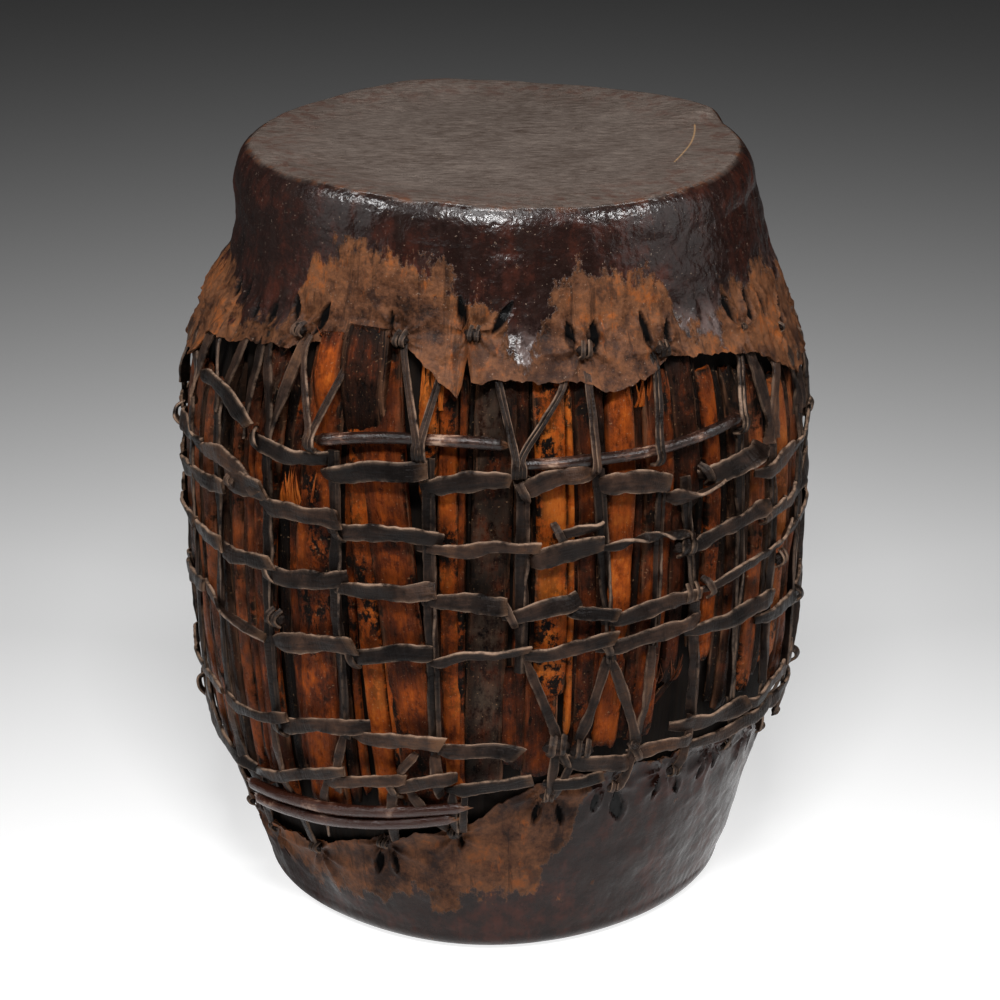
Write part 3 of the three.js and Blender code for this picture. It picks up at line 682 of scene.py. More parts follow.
def hide_finish():
    """Smoked rawhide: black brown to oxblood under a polish, heaviest at the rim. Brown, streaked and dull where it is
    scraped, and darker and redder towards the bottom. A painted sheen lies in a band above the upper hem. Grey brown
    in sweeps on the membrane with a rubbed line at its edge and one golden hair; on the upper hide pale specks of
    dust mixed with painted glints; painted black inside the slits as their shade. A smooth pebble all over, and a
    coarser one where it is dull."""
    f = Finish("smoked_rawhide")
    place = f.place()
    run, (side, high, far) = f.attribute("run")
    _, (scraped, membrane, hole) = f.attribute("look")
    upper = f.between(high, 140, 300)
    cloud = f.speckle(place, 22, 5, 0.6)
    streak = f.grain(run, (0.16, 0.016, 0.02), 7, 0.65)
    sweep = f.grain(place, (110, 520, 520), 6, 0.7)
    mottle = f.speckle(place, 85, 8, 0.72)
    grit = f.speckle(place, 420, 4, 0.65)
    fuzz = f.between(side, -150, -105, 1, 0)
    stained = f.times_plus(cloud, 0.35, f.times(mottle, 0.45))
    dark = f.ramp(f.times_plus(streak, 0.2, stained), SMOKED)
    worn = f.times_plus(cloud, 0.46, f.times(mottle, 0.4))
    brown = f.ramp(f.times_plus(grit, 0.14, worn), SCRAPED)
    drum = f.ramp(f.times_plus(sweep, 0.6, f.times(worn, 0.46)), MEMBRANE)
    blush = f.times(f.between(far, 96, 142), f.between(mottle, 0.46, 0.62), 0.65)
    drum = f.paint(blush, drum, BLUSH)
    rag = f.grain(run, (0.085, 0.055, 0.02), 8, 0.66)
    torn = f.times_plus(rag, 2.4, f.times_plus(streak, 0.6, -1.5))
    reach = f.calc("ADD", scraped, torn)
    share = f.between(reach, 0.38, 0.64)
    # The scraped brown goes darker and redder towards the bottom.
    brown = f.paint(f.between(high, 90, 200, 0.22, 0), brown, LOW_DARK_RED)
    colour = f.paint(share, dark, brown)
    above, bare = f.calc("SUBTRACT", upper, fuzz), f.calc("SUBTRACT", 1, share)
    # A painted sheen: pale grey pink in a band above the upper hem, off the scraped patches.
    painted_sheen = f.times(f.between(high, 392, 420, 0.9, 0), f.between(mottle, 0.4, 0.58), above, bare)
    colour = f.paint(painted_sheen, colour, PAINTED_SHEEN)
    scratch = f.between(streak, 0.36, 0.46, 0.65, 0)
    colour = f.paint(f.times(scratch, share), colour, SCRATCH)
    rusty = f.between(f.grain(run, (0.22, 0.075, 0.02), 6, 0.65), 0.56, 0.68)
    colour = f.paint(f.times(rusty, f.between(cloud, 0.44, 0.56), share, 0.65), colour, RUST)
    smear = f.between(f.grain(run, (0.06, 0.045, 0.02), 6, 0.62), 0.54, 0.64)
    colour = f.paint(f.times(smear, 0.6), colour, SMEAR)
    fringe = f.times(f.between(reach, 0.4, 0.54), f.between(reach, 0.58, 0.78, 0.2, 0))
    colour = f.paint(fringe, colour, FRINGE)
    colour = f.paint(membrane, colour, drum)
    line = f.times(membrane, f.calc("SUBTRACT", 1, membrane), 4)
    colour = f.paint(f.times(line, f.between(mottle, 0.45, 0.62), 0.6), colour, RUBBED_RIM)
    x, y, _ = f.split(place)
    bend = f.times_plus(y, f.times_plus(y, -1.9, 0.19), 0.1215)
    off = f.calc("ABSOLUTE", f.calc("SUBTRACT", x, bend), 0)
    ends = f.between(y, 0.043, 0.046, 1, 0), f.between(y, -0.046, -0.043)
    colour = f.paint(f.times(f.between(off, 0.0002, 0.0008, 0.55, 0), *ends, membrane), colour, GOLD)
    # Pale specks on the upper hide: partly dust, partly painted glints.
    dust_and_glint_speck = f.between(f.speckle(place, 700, 1, 0.5), 0.71, 0.76, 0, 0.45)
    colour = f.paint(f.times(dust_and_glint_speck, upper), colour, DUST_AND_GLINT_SPECK)
    # Painted black inside the slits as their shade.
    colour = f.paint(hole, colour, SLIT_SHADE)
    gloss = f.between(mottle, 0.38, 0.62, 0.19, 0.4)
    dull = f.calc("MAXIMUM", f.calc("MAXIMUM", f.times(share, 0.45), fuzz), membrane)
    roughness = f.calc("MAXIMUM", f.times_plus(dull, 0.36, gloss), hole)
    pebble = f.speckle(place, 260, 2, 0.5)
    coarse = f.times_plus(mottle, 0.8, f.times(grit, 0.4))
    relief = f.times_plus(coarse, f.between(dull, 0, 0.6, 0.06, 1), f.times(pebble, 0.55))
    relief = f.times(relief, f.between(upper, 0, 1, 0.4, 1))
    polish = f.times(
        f.between(share, 0, 1, 0.4, 0), f.between(upper, 0, 1, 0.5, 1),
        f.between(fuzz, 0, 1, 1, 0.1), f.between(high, 446, 466, 1, 1.6),
        f.between(membrane, 0, 1, 1, 0.35),
    )
    return f.close(colour, roughness, relief, 0.0012, Specular_IOR_Level=0.08, Coat_Weight=polish, Coat_Roughness=0.26)


rawhide = hide_finish()
add_piece("upper_head", [upper_hide()], rawhide, "hide", "top_head_hide")
add_piece("lower_head", [lower_hide()], rawhide, "hide", "bottom_head_hide")

# The canes: peeled sticks bent round the belly, two end to end above and two side by side below.
# They lie on the wedges under the lacing, and spread its pull. Dark with handling, rubbed to a pinkish tan in
# places, the lower ones redder, and frayed at their ends.
CANE = 7.6
CANE_SEAT = 0.5
# Each row is first angle, last angle, height at each end, and how far the middle bows up.
UPPER_CANES = [(-33, 2.2, 342, 349, 5.0), (3.6, 49, 338, 345, -3.5)]
LOWER_CANES = [(-58, -5, 92, 115, -4.0), (-56, -7, 84, 107, -5.0)]
# Canes below this height are the lower ones.
LOWER_REACH = 200
CANE_COLOURS = [
    (0.46, (0.006, 0.0034, 0.0027)), (0.62, (0.021, 0.009, 0.006)), (0.71, (0.085, 0.04, 0.026)),
    (0.79, (0.36, 0.23, 0.16)),
]
RUDDY, FRAYED = (0.036, 0.0095, 0.0048), (0.26, 0.12, 0.06)


def cane(row, turn, seed):
    """A bent stick: a round section carried along the belly, with knuckles, splits along it and frayed ends."""
    first, last, z_first, z_last, bow = row
    t = np.linspace(0, 1, 90)[:, None]
    ring = np.linspace(0, 360, 16, endpoint=False)[None]
    angle = first + turn + (last - first) * t
    z = z_first + (z_last - z_first) * t + bow * 4 * t * (1 - t)
    arc = np.radians(last - first) * WEDGE_R * t
    out, up = np.sin(np.radians(ring)), np.cos(np.radians(ring))
    spot = np.stack(np.broadcast_arrays(arc + 60 * seed, 4 * out, 4 * up), -1)
    knuckle = 0.07 * lumps(spot, (24, 300, 300), 51) + 0.08 * lumps(spot, (40, 2.2, 2.2), 52)
    point = ease(t, 0, 0.05) * ease(-t, -1, -0.965)
    radius = CANE / 2 * (1 + knuckle) * (0.25 + 0.75 * point)
    sway = 0.8 * lumps(np.stack([arc[:, 0], 0 * arc[:, 0] + seed, 0 * arc[:, 0]], -1), 45, 53)[:, None]
    reach = wedge_r(z) + 0.6 + CANE_SEAT + CANE / 2
    points = around(angle, reach + radius * out, z + sway + radius * up)
    fray = 5 * (1 - point) * lumps(spot, (300, 1.6, 1.6), 54)
    points = points + around(angle + 90, 1, 0) * fray[..., None]
    low = z < LOWER_REACH
    patch = 0.5 - 0.14 * low + 0.5 * lumps(spot, 16, 55)
    return skin(points, (ring * 0.08 + seed * 9, arc, seed), (patch, 1 - point, low))


def cane_finish():
    """Peeled cane: dark bark left in streaks over red brown and pinkish tan, nearly white where rubbed, and satin."""
    f = Finish("peeled_cane")
    run, _ = f.attribute("run")
    _, (patch, torn, ruddy) = f.attribute("look")
    grain = f.grain(run, (0.55, 0.07, 0.3), 6, 0.6)
    scuff = f.speckle(f.place(), 120, 5, 0.62)
    shade = f.times_plus(patch, 0.35, f.times_plus(scuff, 0.5, f.times(grain, 0.4)))
    colour = f.ramp(shade, CANE_COLOURS)
    colour = f.paint(f.times(ruddy, 0.6), colour, RUDDY)
    colour = f.paint(f.times(torn, 0.5), colour, FRAYED)
    roughness = f.between(scuff, 0.35, 0.65, 0.14, 0.34)
    return f.close(colour, roughness, f.calc("ADD", grain, scuff), 0.0006, Specular_IOR_Level=0.36)


stick = cane_finish()
for level, rows in (("upper", UPPER_CANES), ("lower", LOWER_CANES)):
    for k in range(4):
        made = cane(rows[k % 2], 180 * (k // 2), k + 5 * (level == "lower"))
        add_piece(f"{level}_stick_{k + 1}", [made], stick, "cane", f"{level}_cane_{k + 1}")

# The lacing thong: one long strip of hide, knotted into the slits of the upper head, taken over the canes and down
# the belly as flat uprights, and knotted into the lower head. Dark grey brown leather with pale cut edges, their
# paleness partly a painted highlight.
# Height, and the radius that the lacing lies on there.
SEAT = [
    (40, 160), (60, 164), (78, 169), (92, 174), (106, 182), (133, 188.5), (175, 192.5), (243, 196), (312, 196),
    (338, 195), (352, 192.5), (365, 190), (378, 186), (392, 181.5), (405, 177.5), (419, 172.5),
]
# Upper legs, from a hole in the upper hide to where they hook over a cane: angle and height at each end.
UPPER_LEGS = [
    (-77, 372, -71, 338), (-68, 378, -71, 338), (-64, 384, -60, 340), (-55, 386, -58, 340), (-49, 387, -50, 338),
    (-47, 388, -43.5, 336), (-39, 393, -43, 334), (-26.4, 382, -32, 343), (-38, 392, -33, 344),
    (-17, 400, -13.2, 347), (-10, 390, -12.2, 347), (0.8, 384, 3.4, 338), (12.4, 383, 4.6, 338),
    (17.2, 384, 17.0, 338), (31.0, 388, 28.6, 337), (52, 380, 47.4, 344), (55.7, 372, 58.2, 326), (64, 364, 60, 328),
    (72, 362, 73, 330), (78, 360, 76, 330), (88, 362, 87, 332), (95, 366, 90, 332),
]
# Uprights, down the belly behind the strips: angle, height at the top, angle and height at the foot, width.
UPRIGHTS = [
    (-71, 336, -72, 150, 8), (-58.5, 338, -60, 148, 8), (-43.6, 332, -44.6, 150, 10), (-29.0, 338, -28.4, 152, 10),
    (-11.6, 340, -10.8, 150, 10), (4.8, 330, 4.2, 206, 10), (17.6, 332, 20.4, 208, 9), (29.6, 322, 28.8, 212, 5),
    (34.6, 318, 36.8, 238, 8), (37.4, 236, 38.6, 158, 9), (48.2, 338, 48.6, 160, 7), (58.8, 322, 60, 158, 8),
    (73, 328, 73, 154, 8), (87, 330, 86, 146, 8),
]
# Lower legs, from an upright or a strip to a hole in the lower hide: angle and height at each end, width.
LOWER_LEGS = [
    (-72, 152, -73, 58, 6), (-60, 150, -60, 54, 6), (-51.6, 104, -58, 68, 5), (-45, 150, -43, 60, 6),
    (-33.4, 118, -37.4, 72, 5.5), (-28.4, 154, -31, 112, 6), (-19, 124, -20.8, 80, 6), (-16.2, 122, -9.4, 94, 5.5),
    (-14.2, 149, -17.8, 134, 6), (-7.8, 124, -7.8, 92, 5.5), (-5.4, 124, -6.2, 92, 5), (-10.8, 152, -10, 120, 7),
    (5.4, 214, 11.4, 160, 6.5), (20.2, 212, 15.2, 158, 7), (20.6, 212, 26.6, 150, 6.5), (28.8, 214, 26.8, 156, 6.5),
    (11.2, 162, 10, 118, 6), (15.6, 158, 11, 120, 5), (26.6, 154, 23.4, 120, 6),
    (38.4, 160, 36, 124, 6.5), (48.6, 162, 50, 126, 6), (60, 160, 63, 122, 6), (73, 156, 79, 112, 6),
    (86, 148, 96, 96, 6),
]
# Knots that stand on the belly: angle, height, size.
BELLY_KNOTS = [
    (-42, 222, 7), (36, 243, 7), (34.8, 275, 8), (11, 156, 8), (15.6, 152, 7), (-52, 302, 6), (62, 240, 6),
]
THONG = 2.2
# Between these angles the upper legs are pairs of strands hooked over a cane. The others are single flat straps.
HOOKED = (-34, 50)
# Knots within this angle of the front stand out. Those at the sides are drawn down small.
FRONT = 45
LEATHER_COLOURS = [
    (0.4, (0.0034, 0.0021, 0.0017)), (0.56, (0.011, 0.0066, 0.005)), (0.7, (0.036, 0.019, 0.0125)),
    (0.84, (0.09, 0.042, 0.021)),
]
PALE_CUT_EDGE_AND_HIGHLIGHT, CUT_TAN = (0.3, 0.195, 0.135), (0.115, 0.058, 0.03)


def smooth_route(spots, count):
    """A smooth line through spots: a cubic through each pair whose slope follows the spots before and after."""
    spots = np.array(spots, float)
    row = np.vstack([2 * spots[0] - spots[1], spots, 2 * spots[-1] - spots[-2]])
    t = np.linspace(0, len(spots) - 1 - 1e-6, count)
    i = t.astype(int)
    s = (t - i)[:, None]
    a, b, c, d = (row[i + k] for k in range(4))
    return b + 0.5 * s * (c - a + s * (2 * a - 5 * b + 4 * c - d + s * (3 * (b - c) + d - a)))


def seat_r(z):
    """Radius that the lacing lies on at a height, straight between the rows of its list."""
    height, radius = np.array(SEAT).T
    return np.interp(z, height, radius)


def strap(spots, width, thick, seed, count=30, ring=10, twist=0, bow=0.6, cut=0, tone=0.5, pinch=0, edge_pale_and_highlight=1.0):
    """A flat strip of leather: a rounded oblong section carried along spots of angle, height and lift off the seat.
    It is bowed across, uneven by noise, pinched at its ends and turned along the way by a twist.
    edge_pale_and_highlight pales its edges, partly as a painted highlight, and cut its last end."""
    line = smooth_route(spots, count)
    angle, z, lift = line.T
    path = around(angle, seat_r(z) + lift, z)
    along = np.gradient(path, axis=0)
    along /= np.linalg.norm(along, axis=1)[:, None]
    out = around(angle, 1, 0)
    side = np.cross(out, along)
    side /= np.linalg.norm(side, axis=1)[:, None]
    out = np.cross(along, side)
    t = np.linspace(0, 1, count)[:, None]
    spot = np.stack(np.broadcast_arrays(path[:, 0], path[:, 1], path[:, 2] + 90.0 * seed), -1)
    turn = np.radians(twist) * ease(t, 0.1, 0.9) + 0.5 * lumps(spot, 24, 61)[:, None]
    side, out = side * np.cos(turn) + out * np.sin(turn), out * np.cos(turn) - side * np.sin(turn)
    corner = np.linspace(0, 2 * np.pi, ring, endpoint=False)
    c, s = np.cos(corner), np.sin(corner)
    waist = 1 - pinch * (1 - ease(t, 0, 0.22)) - 0.3 * pinch * ease(t, 0.9, 1)
    half = width / 2 * waist * (1 + 0.22 * lumps(spot, 15, 62) + 0.13 * lumps(spot, 4.5, 63))[:, None]
    across = half * np.sign(c) * np.abs(c) ** 0.35
    rise = thick / 2 * np.sign(s) * np.abs(s) ** 0.35 - bow * ((across / half) ** 2 - 0.5) * width / 9
    points = path[:, None] + side[:, None] * across[..., None] + out[:, None] * rise[..., None]
    slant = np.random.default_rng(seed + 5).uniform(-0.8, 0.8) * (cut > 0)
    points = points + along[:, None] * (slant * across * ease(t, 0.7, 1))[..., None]
    wave = 0.7 * lumps(points, 11, 64) + 0.35 * lumps(points, 4, 66)
    points = points + out[:, None] * wave[..., None]
    length = np.concatenate([[0], np.cumsum(np.linalg.norm(np.diff(path, axis=0), axis=1))])[:, None]
    # Pale along the edges: partly the cut edge's own colour, partly a painted highlight.
    edge = edge_pale_and_highlight * np.abs(c)[None] ** 4
    end = cut * ease(t, 0.88, 0.99)
    cloud = np.clip(tone + 0.4 * lumps(points, 24, 65), 0, 1)
    return skin(points, (across + 25 * (seed % 40), length, seed % 17), (edge, end, cloud))


def strands(route, width, thick, seed, gap, tone):
    """Two strands of thong side by side along a route, one a little over the other."""
    made = []
    for k, shift in enumerate((-gap, gap)):
        spots = [(a + shift, z, lift + 0.7 * k) for a, z, lift in route]
        made.append(strap(spots, width, thick, seed + 31 * k, bow=0.4, tone=tone))
    return made


def knot(angle, z, lift, size, seed):
    """A pulled knot: a creased ball of thong, wider than high, with two turns drawn tight over it."""
    wide = np.degrees(size / 185)
    polar = np.radians(np.linspace(4, 176, 10))[:, None]
    turn = np.linspace(0, 2 * np.pi, 16, endpoint=False)[None]
    girth = np.sin(polar)
    ball = np.stack(np.broadcast_arrays(np.cos(polar), girth * np.cos(turn), girth * np.sin(turn)), -1)
    swell = 1 + 0.28 * lumps(ball * 9 + seed, 4, 67) + 0.12 * lumps(ball * 9 + seed, 1.8, 68)
    x, y, out = np.moveaxis(ball * swell[..., None] * size, -1, 0)
    points = around(angle + 0.95 * x / size * wide, seat_r(z) + lift + 0.55 * out, z + 0.62 * y)
    cloud = np.clip(0.35 + 0.4 * swell - 0.4, 0, 1)
    made = [skin(points, (9 * x / size + seed, 9 * y / size, seed), (0, 0, cloud))]
    for k, side in enumerate((-0.42, 0.36)):
        a = angle + side * wide
        over = [
            (a - 0.1 * wide, z - 0.8 * size, lift - 1), (a, z - 0.45 * size, lift + 0.42 * size),
            (a, z, lift + 0.62 * size), (a + 0.1 * wide, z + 0.45 * size, lift + 0.42 * size),
            (a + 0.3 * wide, z + 0.85 * size, lift - 1),
        ]
        made.append(strap(over, 0.5 * size, 0.28 * size, seed + 3 + k, count=16, ring=8, bow=0.3, tone=0.4))
    return made


def leather_finish():
    """Laced leather: dark grey brown, dirty, browner in clouds, paler along cut edges, partly as a painted
    highlight, and tan where an end is cut.
    """
    f = Finish("laced_leather")
    place = f.place()
    run, _ = f.attribute("run")
    _, (edge, cut, cloud) = f.attribute("look")
    fibre = f.grain(run, (0.5, 0.07, 0.4), 6, 0.6)
    bloom = f.speckle(place, 90, 6, 0.65)
    pore = f.speckle(place, 900, 2, 0.6)
    mixed = f.times_plus(bloom, 0.5, f.times(fibre, 0.3))
    colour = f.ramp(f.times_plus(cloud, 0.4, mixed), LEATHER_COLOURS)
    # Pale along the edges: partly the cut edge's own colour, partly a painted highlight.
    colour = f.paint(f.times(edge, f.between(bloom, 0.36, 0.6), 0.9), colour, PALE_CUT_EDGE_AND_HIGHLIGHT)
    tan = f.times(cut, f.between(bloom, 0.35, 0.6, 0.1, 0.8))
    colour = f.paint(tan, colour, CUT_TAN)
    crease = f.grain(run, (0.06, 0.4, 0.4), 4, 0.6)
    worn = f.times_plus(bloom, 0.6, f.times(pore, 0.12))
    relief = f.times_plus(crease, 0.6, f.times_plus(fibre, 0.6, worn))
    roughness = f.between(bloom, 0.3, 0.7, 0.28, 0.55)
    return f.close(colour, roughness, relief, 0.0013, Specular_IOR_Level=0.1)


leather = leather_finish()
parts = []
for turn in (0, 180):
    for k, (a, z, b, low) in enumerate(UPPER_LEGS):
        hooked = HOOKED[0] < b < HOOKED[1]
        over = 10.2 if hooked else 1.2
        top = max(z, round_list(TOP_HEM, a)) + 5
        hook = [
            (a + turn, top, -3.0), (a + turn, top - 8, 0.5), (0.5 * (a + b) + turn, 0.5 * (top + low), 0.4 * over),
            (b + turn, low + 7, 0.85 * over), (b + turn, low, over), (b + turn, low - 6, 0.7 * over),
            (b + turn, low - 8, 1.0),
        ]
        if hooked:
            parts += strands(hook, 2.3, THONG, 300 + k, 0.34, 0.45)
        else:
            parts.append(strap(hook, 7.6, 2.0, 300 + k, twist=35, bow=0.35, tone=0.55, edge_pale_and_highlight=0.45))
    for k, (a, z, b, low, width) in enumerate(UPRIGHTS):
        drop = [(a + (b - a) * t + turn, z + (low - z) * t, 1.4 + 0.7 * np.sin(9 * t + k))
                for t in np.linspace(0, 1, 7)]
        twist = 70 * np.sin(3 * k)
        parts.append(strap(drop, 0.66 * width, THONG, 360 + k, 44, twist=twist, bow=0.5, tone=0.2, edge_pale_and_highlight=0.3))
        drop = [(a + 0.9, z, lift + 0.6) for a, z, lift in drop]
        parts.append(strap(drop, 0.32 * width, THONG, 390 + k, 44, 8, twist=160, bow=0.3, tone=0.3, edge_pale_and_highlight=0.5))
    for k, (a, z, b, low, width) in enumerate(LOWER_LEGS):
        loose = 1 if abs(a) < 56 else 0.35
        drop = [
            (a + turn, z, 2.0), (a + 0.3 * (b - a) + turn, z + 0.3 * (low - z), 4.0 * loose),
            (a + 0.75 * (b - a) + turn, z + 0.75 * (low - z), 4.5 * loose), (b + turn, low, 2.0 * loose),
        ]
        parts.append(strap(drop, width, 2.0, 420 + k, twist=40 * np.sin(5 * k), bow=0.4, pinch=0.35, edge_pale_and_highlight=0.7))
    for k, (a, z, size) in enumerate(BELLY_KNOTS):
        parts += knot(a + turn, z, 4.0, size, 480 + 9 * k)
for k, (a, z) in enumerate(TOP_KNOTS[3:10] + TOP_KNOTS[11:21]):
    parts += knot(a, z, *((1.8, 5.4) if abs(a) < FRONT else (-1.0, 3.0)), 560 + 9 * k)
for k, (a, z) in enumerate(FOOT_KNOTS):
    parts += knot(a, z + 3, *((1.5, 5.0) if abs(a) < FRONT else (0.5, 4.0)), 760 + 9 * k)
add_piece("laced_thong", parts, leather, "thong", "lacing_thong")

# The twined strips: six courses of flat leather wound round the belly over and under the uprights.
# Each length rises to the right, laps over the next one and ends in a cut or folded tab, some of them twisted.
# Each row is width, twist in degrees, then angle and height along the strip.
STRIPS = {
    "lacing_course_1": [
        (10, 0, (-69, 352), (-56, 355), (-47, 342)), (10, 0, (-68, 307), (-53, 314), (-45, 300)),
        (11, 0, (-47.5, 333), (-38, 331), (-29.6, 332)), (11.5, 0, (-31.4, 321), (-22, 329), (-11.2, 334)),
        (11, 0, (-12.8, 323), (-3.7, 329), (2.8, 330)), (11, 0, (3.8, 321), (8.9, 328), (17.4, 332)),
        (12.5, 0, (17.2, 322), (23.9, 322), (31, 318)), (10, 60, (30.6, 307), (35.7, 306), (41.3, 310)),
        (13, -60, (38.3, 315), (44.5, 318), (55.6, 320)), (10, 0, (53.6, 303), (68, 304)),
        (10, 0, (66, 300), (80, 307), (92, 312)), (10, 0, (90, 304), (102, 312), (114, 309)),
    ],
    "lacing_course_2": [
        (15, 20, (-56, 303), (-43, 304)), (10.5, 0, (-46, 292), (-34.8, 295), (-27, 297)),
        (9.5, 0, (-30.4, 286), (-22, 291), (-14.5, 294), (-9, 290)),
        (8, 30, (-13.4, 284), (-4.9, 286), (1.1, 287), (7.6, 287)),
        (12.5, 0, (6, 276), (10.5, 282), (18.6, 287)), (5, 40, (10.3, 292), (14.3, 297), (18.9, 298)),
        (5.5, 300, (17.6, 282), (27, 285), (35, 284)), (9, 0, (35.6, 270), (42.2, 278), (56.4, 282)),
        (6.5, 0, (54.6, 275), (66, 274)), (9, 0, (64, 270), (78, 276), (92, 282)),
        (9, 0, (90, 276), (106, 284), (126, 296)),
    ],
    "lacing_course_3": [
        (10, 0, (-72, 252), (-56, 256)), (9, 0, (-58.4, 252), (-41.6, 259)),
        (10, 0, (-45, 250), (-35.2, 254), (-26.4, 259)),
        (10, 0, (-30, 251), (-18.7, 256), (-9.8, 259)), (10, 0, (-12.6, 250), (-4.1, 253), (2.2, 252)),
        (10.5, 0, (1.4, 242), (8.5, 248), (14.6, 251)), (8, 0, (11.6, 245), (21.4, 241)),
        (9, 0, (19, 235), (27.4, 241), (37.8, 243)), (5.5, 30, (38.6, 241), (49.4, 250), (71, 253)),
        (9, 0, (69, 248), (82, 252), (92, 256)), (9, 0, (90, 248), (110, 254)),
    ],
    "lacing_course_4": [
        (5.5, 120, (-68, 218), (-57.5, 212), (-44, 207)), (10.5, 0, (-44.4, 203), (-33.7, 213), (-24.6, 218)),
        (9, 0, (-27.4, 208), (-18.5, 216), (-10.4, 219)), (6.5, 40, (-11.6, 211), (-4.2, 218), (6, 222)),
        (8.5, 0, (3.8, 215), (12.4, 222), (21.2, 226)), (9, 0, (18, 217), (27.6, 222), (39, 224)),
        (9.5, 0, (36.2, 216), (46.4, 219), (59.2, 217)), (9, 0, (56, 204), (66, 203), (77, 199)),
        (9, 0, (75, 196), (92, 206)), (9, 0, (90, 202), (113, 216)),
    ],
    "lacing_course_5": [
        (6, 0, (-76, 150), (-61, 151)), (7, 0, (-62, 151), (-53, 147), (-40, 158)),
        (9, 0, (-45.6, 147), (-32, 158), (-23, 164)),
        (9, 0, (-27, 154), (-16.9, 158), (-9, 158)), (9, 0, (-11.6, 152), (-1.3, 155), (4.4, 153)),
        (9.5, 0, (11.2, 147), (18.5, 142), (26, 138)), (10, 0, (34, 155), (42.6, 153), (53, 154)),
        (8, 0, (51, 149), (66, 152), (80, 156)), (8, 0, (78, 150), (92, 152), (106, 150)),
    ],
    "lacing_course_6": [
        (7, 0, (-58, 96), (-40, 117), (-28, 131)), (7.5, 0, (-34.4, 116), (-25, 126), (-16, 131)),
        (7.5, 0, (-20.4, 121), (-13, 130), (-7, 135)), (7.5, 0, (-9, 125), (-1, 132), (6.8, 135)),
        (7.5, 0, (9.2, 128), (19.8, 133)), (8, 0, (25, 143), (32, 146), (39.4, 144)),
        (8, 0, (38, 138), (52, 140), (64, 141)), (8, 0, (62, 136), (78, 134), (92, 128)),
        (8, 0, (90, 122), (106, 112), (124, 100)),
    ],
}

# Lift of a strip off its seat along its length: tucked in at its start, then over the uprights.
LIFT_AT, LIFT = (0, 0.15, 0.4, 0.85), (-0.5, 4.4, 6.0, 6.4)
FREE_LIFT, TUCKED_LIFT = 6.6, 0.5

for course, (target, rows) in enumerate(STRIPS.items()):
    parts = []
    for turn in (0, 180):
        for k, (width, twist, *spots) in enumerate(rows):
            seed = 900 + 40 * course + k + turn
            free = k % 3 < 2
            line = smooth_route([(a + turn, z, 0) for a, z in spots], 12)
            lift = (*LIFT, FREE_LIFT if free else TUCKED_LIFT)
            line[:, 2] = np.interp(np.linspace(0, 1, 12), (*LIFT_AT, 1), lift)
            line[:, 1] += 2.0 * lumps(around(line[:, 0], 190, line[:, 1]), 17, 71)
            line[:, 2] *= 1 - 0.62 * ease(np.abs(np.sin(np.radians(line[:, 0]))), 0.80, 0.94)
            tone = np.random.default_rng(seed).uniform(0.15, 0.62)
            parts.append(strap(line, 1.08 * width, 2.3, seed, 48, 14, twist, 0.35, 0.5 * free, tone, 0.5))
            if not free:
                a, z, _ = line[1]
                wrap = [(a - 0.9, z + 7, 0.5), (a - 0.4, z + 4, 5.6), (a + 0.4, z - 2, 6.2), (a + 0.9, z - 7, 0.5)]
                parts.append(strap(wrap, 5.2, 2.0, seed + 7, 16, 8, twist=20, bow=0.4, tone=0.35, pinch=0.2))
    add_piece(f"twined_strips_{course + 1}", parts, leather, "thong", target)

# The stage: a plain pale floor lit from above and through itself, so that it fades into the dark behind the drum.
# Soft light comes from a box above the front, one overhead, and a small box and a broad fill on each side.
FLOOR_HALF = 6.0
FLOOR_Z = -0.0004
FLOOR_PALE = 0.46
GLOW = 1.06
GLOW_MIDDLE = (0, -0.5, 0)
GLOW_REACH = 1.0
floor_mesh = bpy.data.meshes.new("floor")
square = np.array([(-1, -1), (1, -1), (1, 1), (-1, 1)]) * FLOOR_HALF
floor_mesh.from_pydata([(x, y, FLOOR_Z) for x, y in square], [], [(0, 1, 2, 3)])
floor = bpy.data.objects.new("floor", floor_mesh)
bpy.context.scene.collection.objects.link(floor)


def floor_finish():
    """A pale floor that glows by the law of a lamp over it: the square of one over one plus distance squared."""
    f = Finish("pale_floor")
    far = f.node("VectorMath", {0: f.place(), 1: GLOW_MIDDLE}, operation="DISTANCE").outputs["Value"]
    spread = f.times_plus(f.times(far, far), GLOW_REACH ** -2, 1)
    values = {
        "Base Color": (FLOOR_PALE, FLOOR_PALE, FLOOR_PALE, 1), "Roughness": 0.9, "Specular IOR Level": 0.1,
        "Emission Color": (1, 1, 1, 1), "Emission Strength": f.times(f.calc("POWER", spread, -2), GLOW),
    }
    for key, value in values.items():
        f.feed(f.shader.inputs[key], value)
    return f.material


floor_mesh.materials.append(floor_finish())


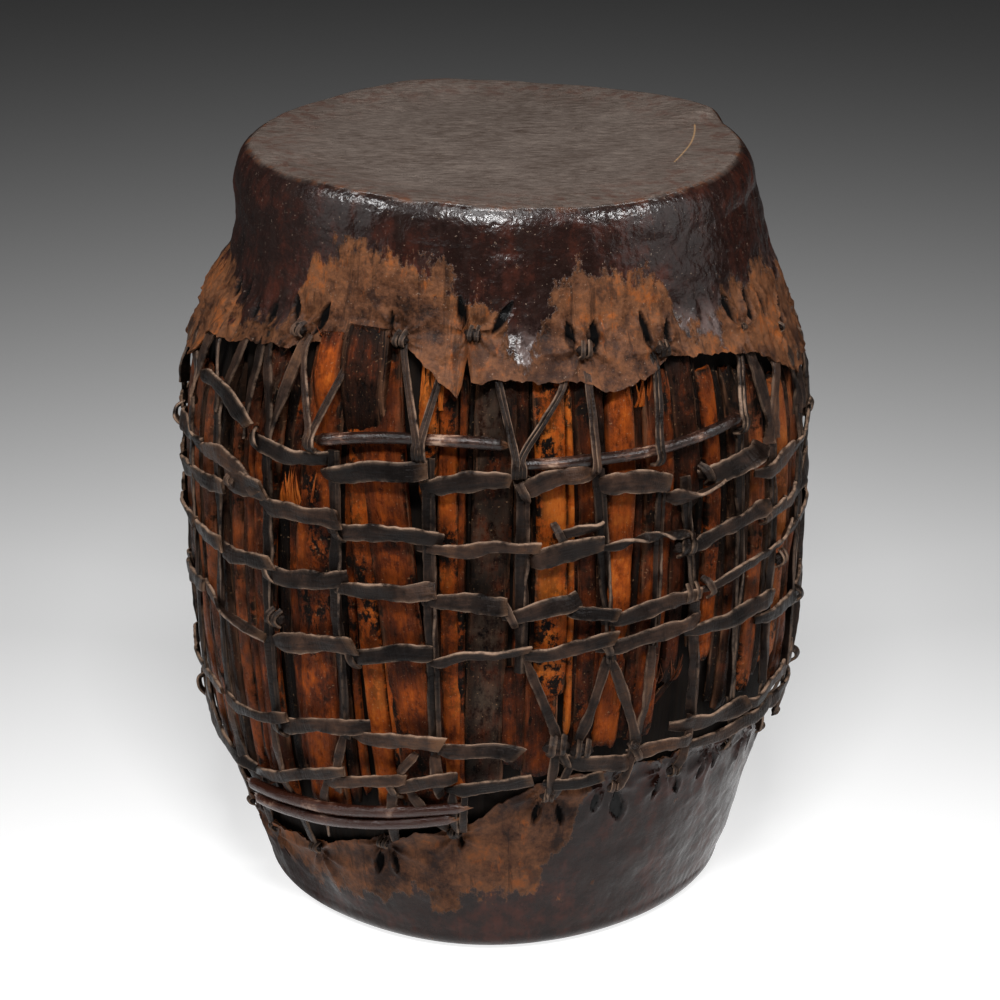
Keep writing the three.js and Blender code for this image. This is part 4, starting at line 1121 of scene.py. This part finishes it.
def soft_light(name, place, aim, width, height, watts, spread):
    """A rectangular softbox at a place, turned to aim at a point, its light held within a spread in degrees."""
    lamp = bpy.data.lights.new(name, "AREA")
    lamp.shape = "RECTANGLE"
    lamp.size, lamp.size_y, lamp.energy = width, height, watts
    lamp.spread = np.radians(spread)
    box = bpy.data.objects.new(name, lamp)
    bpy.context.scene.collection.objects.link(box)
    box.location = place
    box.rotation_euler = (Vector(aim) - Vector(place)).to_track_quat("-Z", "Y").to_euler()


DRUM_MIDDLE = (0, 0, 0.24)
ROOM_DIM = 0.005
soft_light("front_top", (0, -1.35, 1.75), DRUM_MIDDLE, 0.55, 0.20, 6.6, 80)
soft_light("overhead", (0, -0.45, 1.5), (0, -0.05, 0.3), 0.7, 0.25, 1.2, 90)
soft_light("left_box", (-1.15, -0.6, 1.45), DRUM_MIDDLE, 0.36, 0.20, 2.9, 90)
soft_light("left_fill", (-1.5, -0.5, 0.7), DRUM_MIDDLE, 1.1, 1.1, 1.2, 100)
soft_light("right_box", (1.15, -0.55, 1.45), DRUM_MIDDLE, 0.36, 0.20, 3.1, 90)
soft_light("right_fill", (1.5, -0.4, 0.7), DRUM_MIDDLE, 1.1, 1.1, 1.5, 100)
world = bpy.data.worlds.new("dim_room")
world.use_nodes = True
world.node_tree.nodes["Background"].inputs["Color"].default_value = (ROOM_DIM, ROOM_DIM, ROOM_DIM, 1)
bpy.context.scene.world = world
bpy.context.scene.view_settings.view_transform = "Standard"

# The camera: in front of the drum and above it, at the photograph's height and distance.
CAMERA_FAR = 2.4
CAMERA_RISE = np.radians(20.17)
lens = bpy.data.cameras.new("camera")
lens.lens, lens.sensor_width = 134.7, 36
lens.shift_x, lens.shift_y = 0.0055, 0.0056
camera = bpy.data.objects.new("camera", lens)
bpy.context.scene.collection.objects.link(camera)
camera.location = (0, -CAMERA_FAR * np.cos(CAMERA_RISE), DRUM_MIDDLE[2] + CAMERA_FAR * np.sin(CAMERA_RISE))
camera.rotation_euler = (np.pi / 2 - CAMERA_RISE, 0, 0)
bpy.context.scene.camera = camera
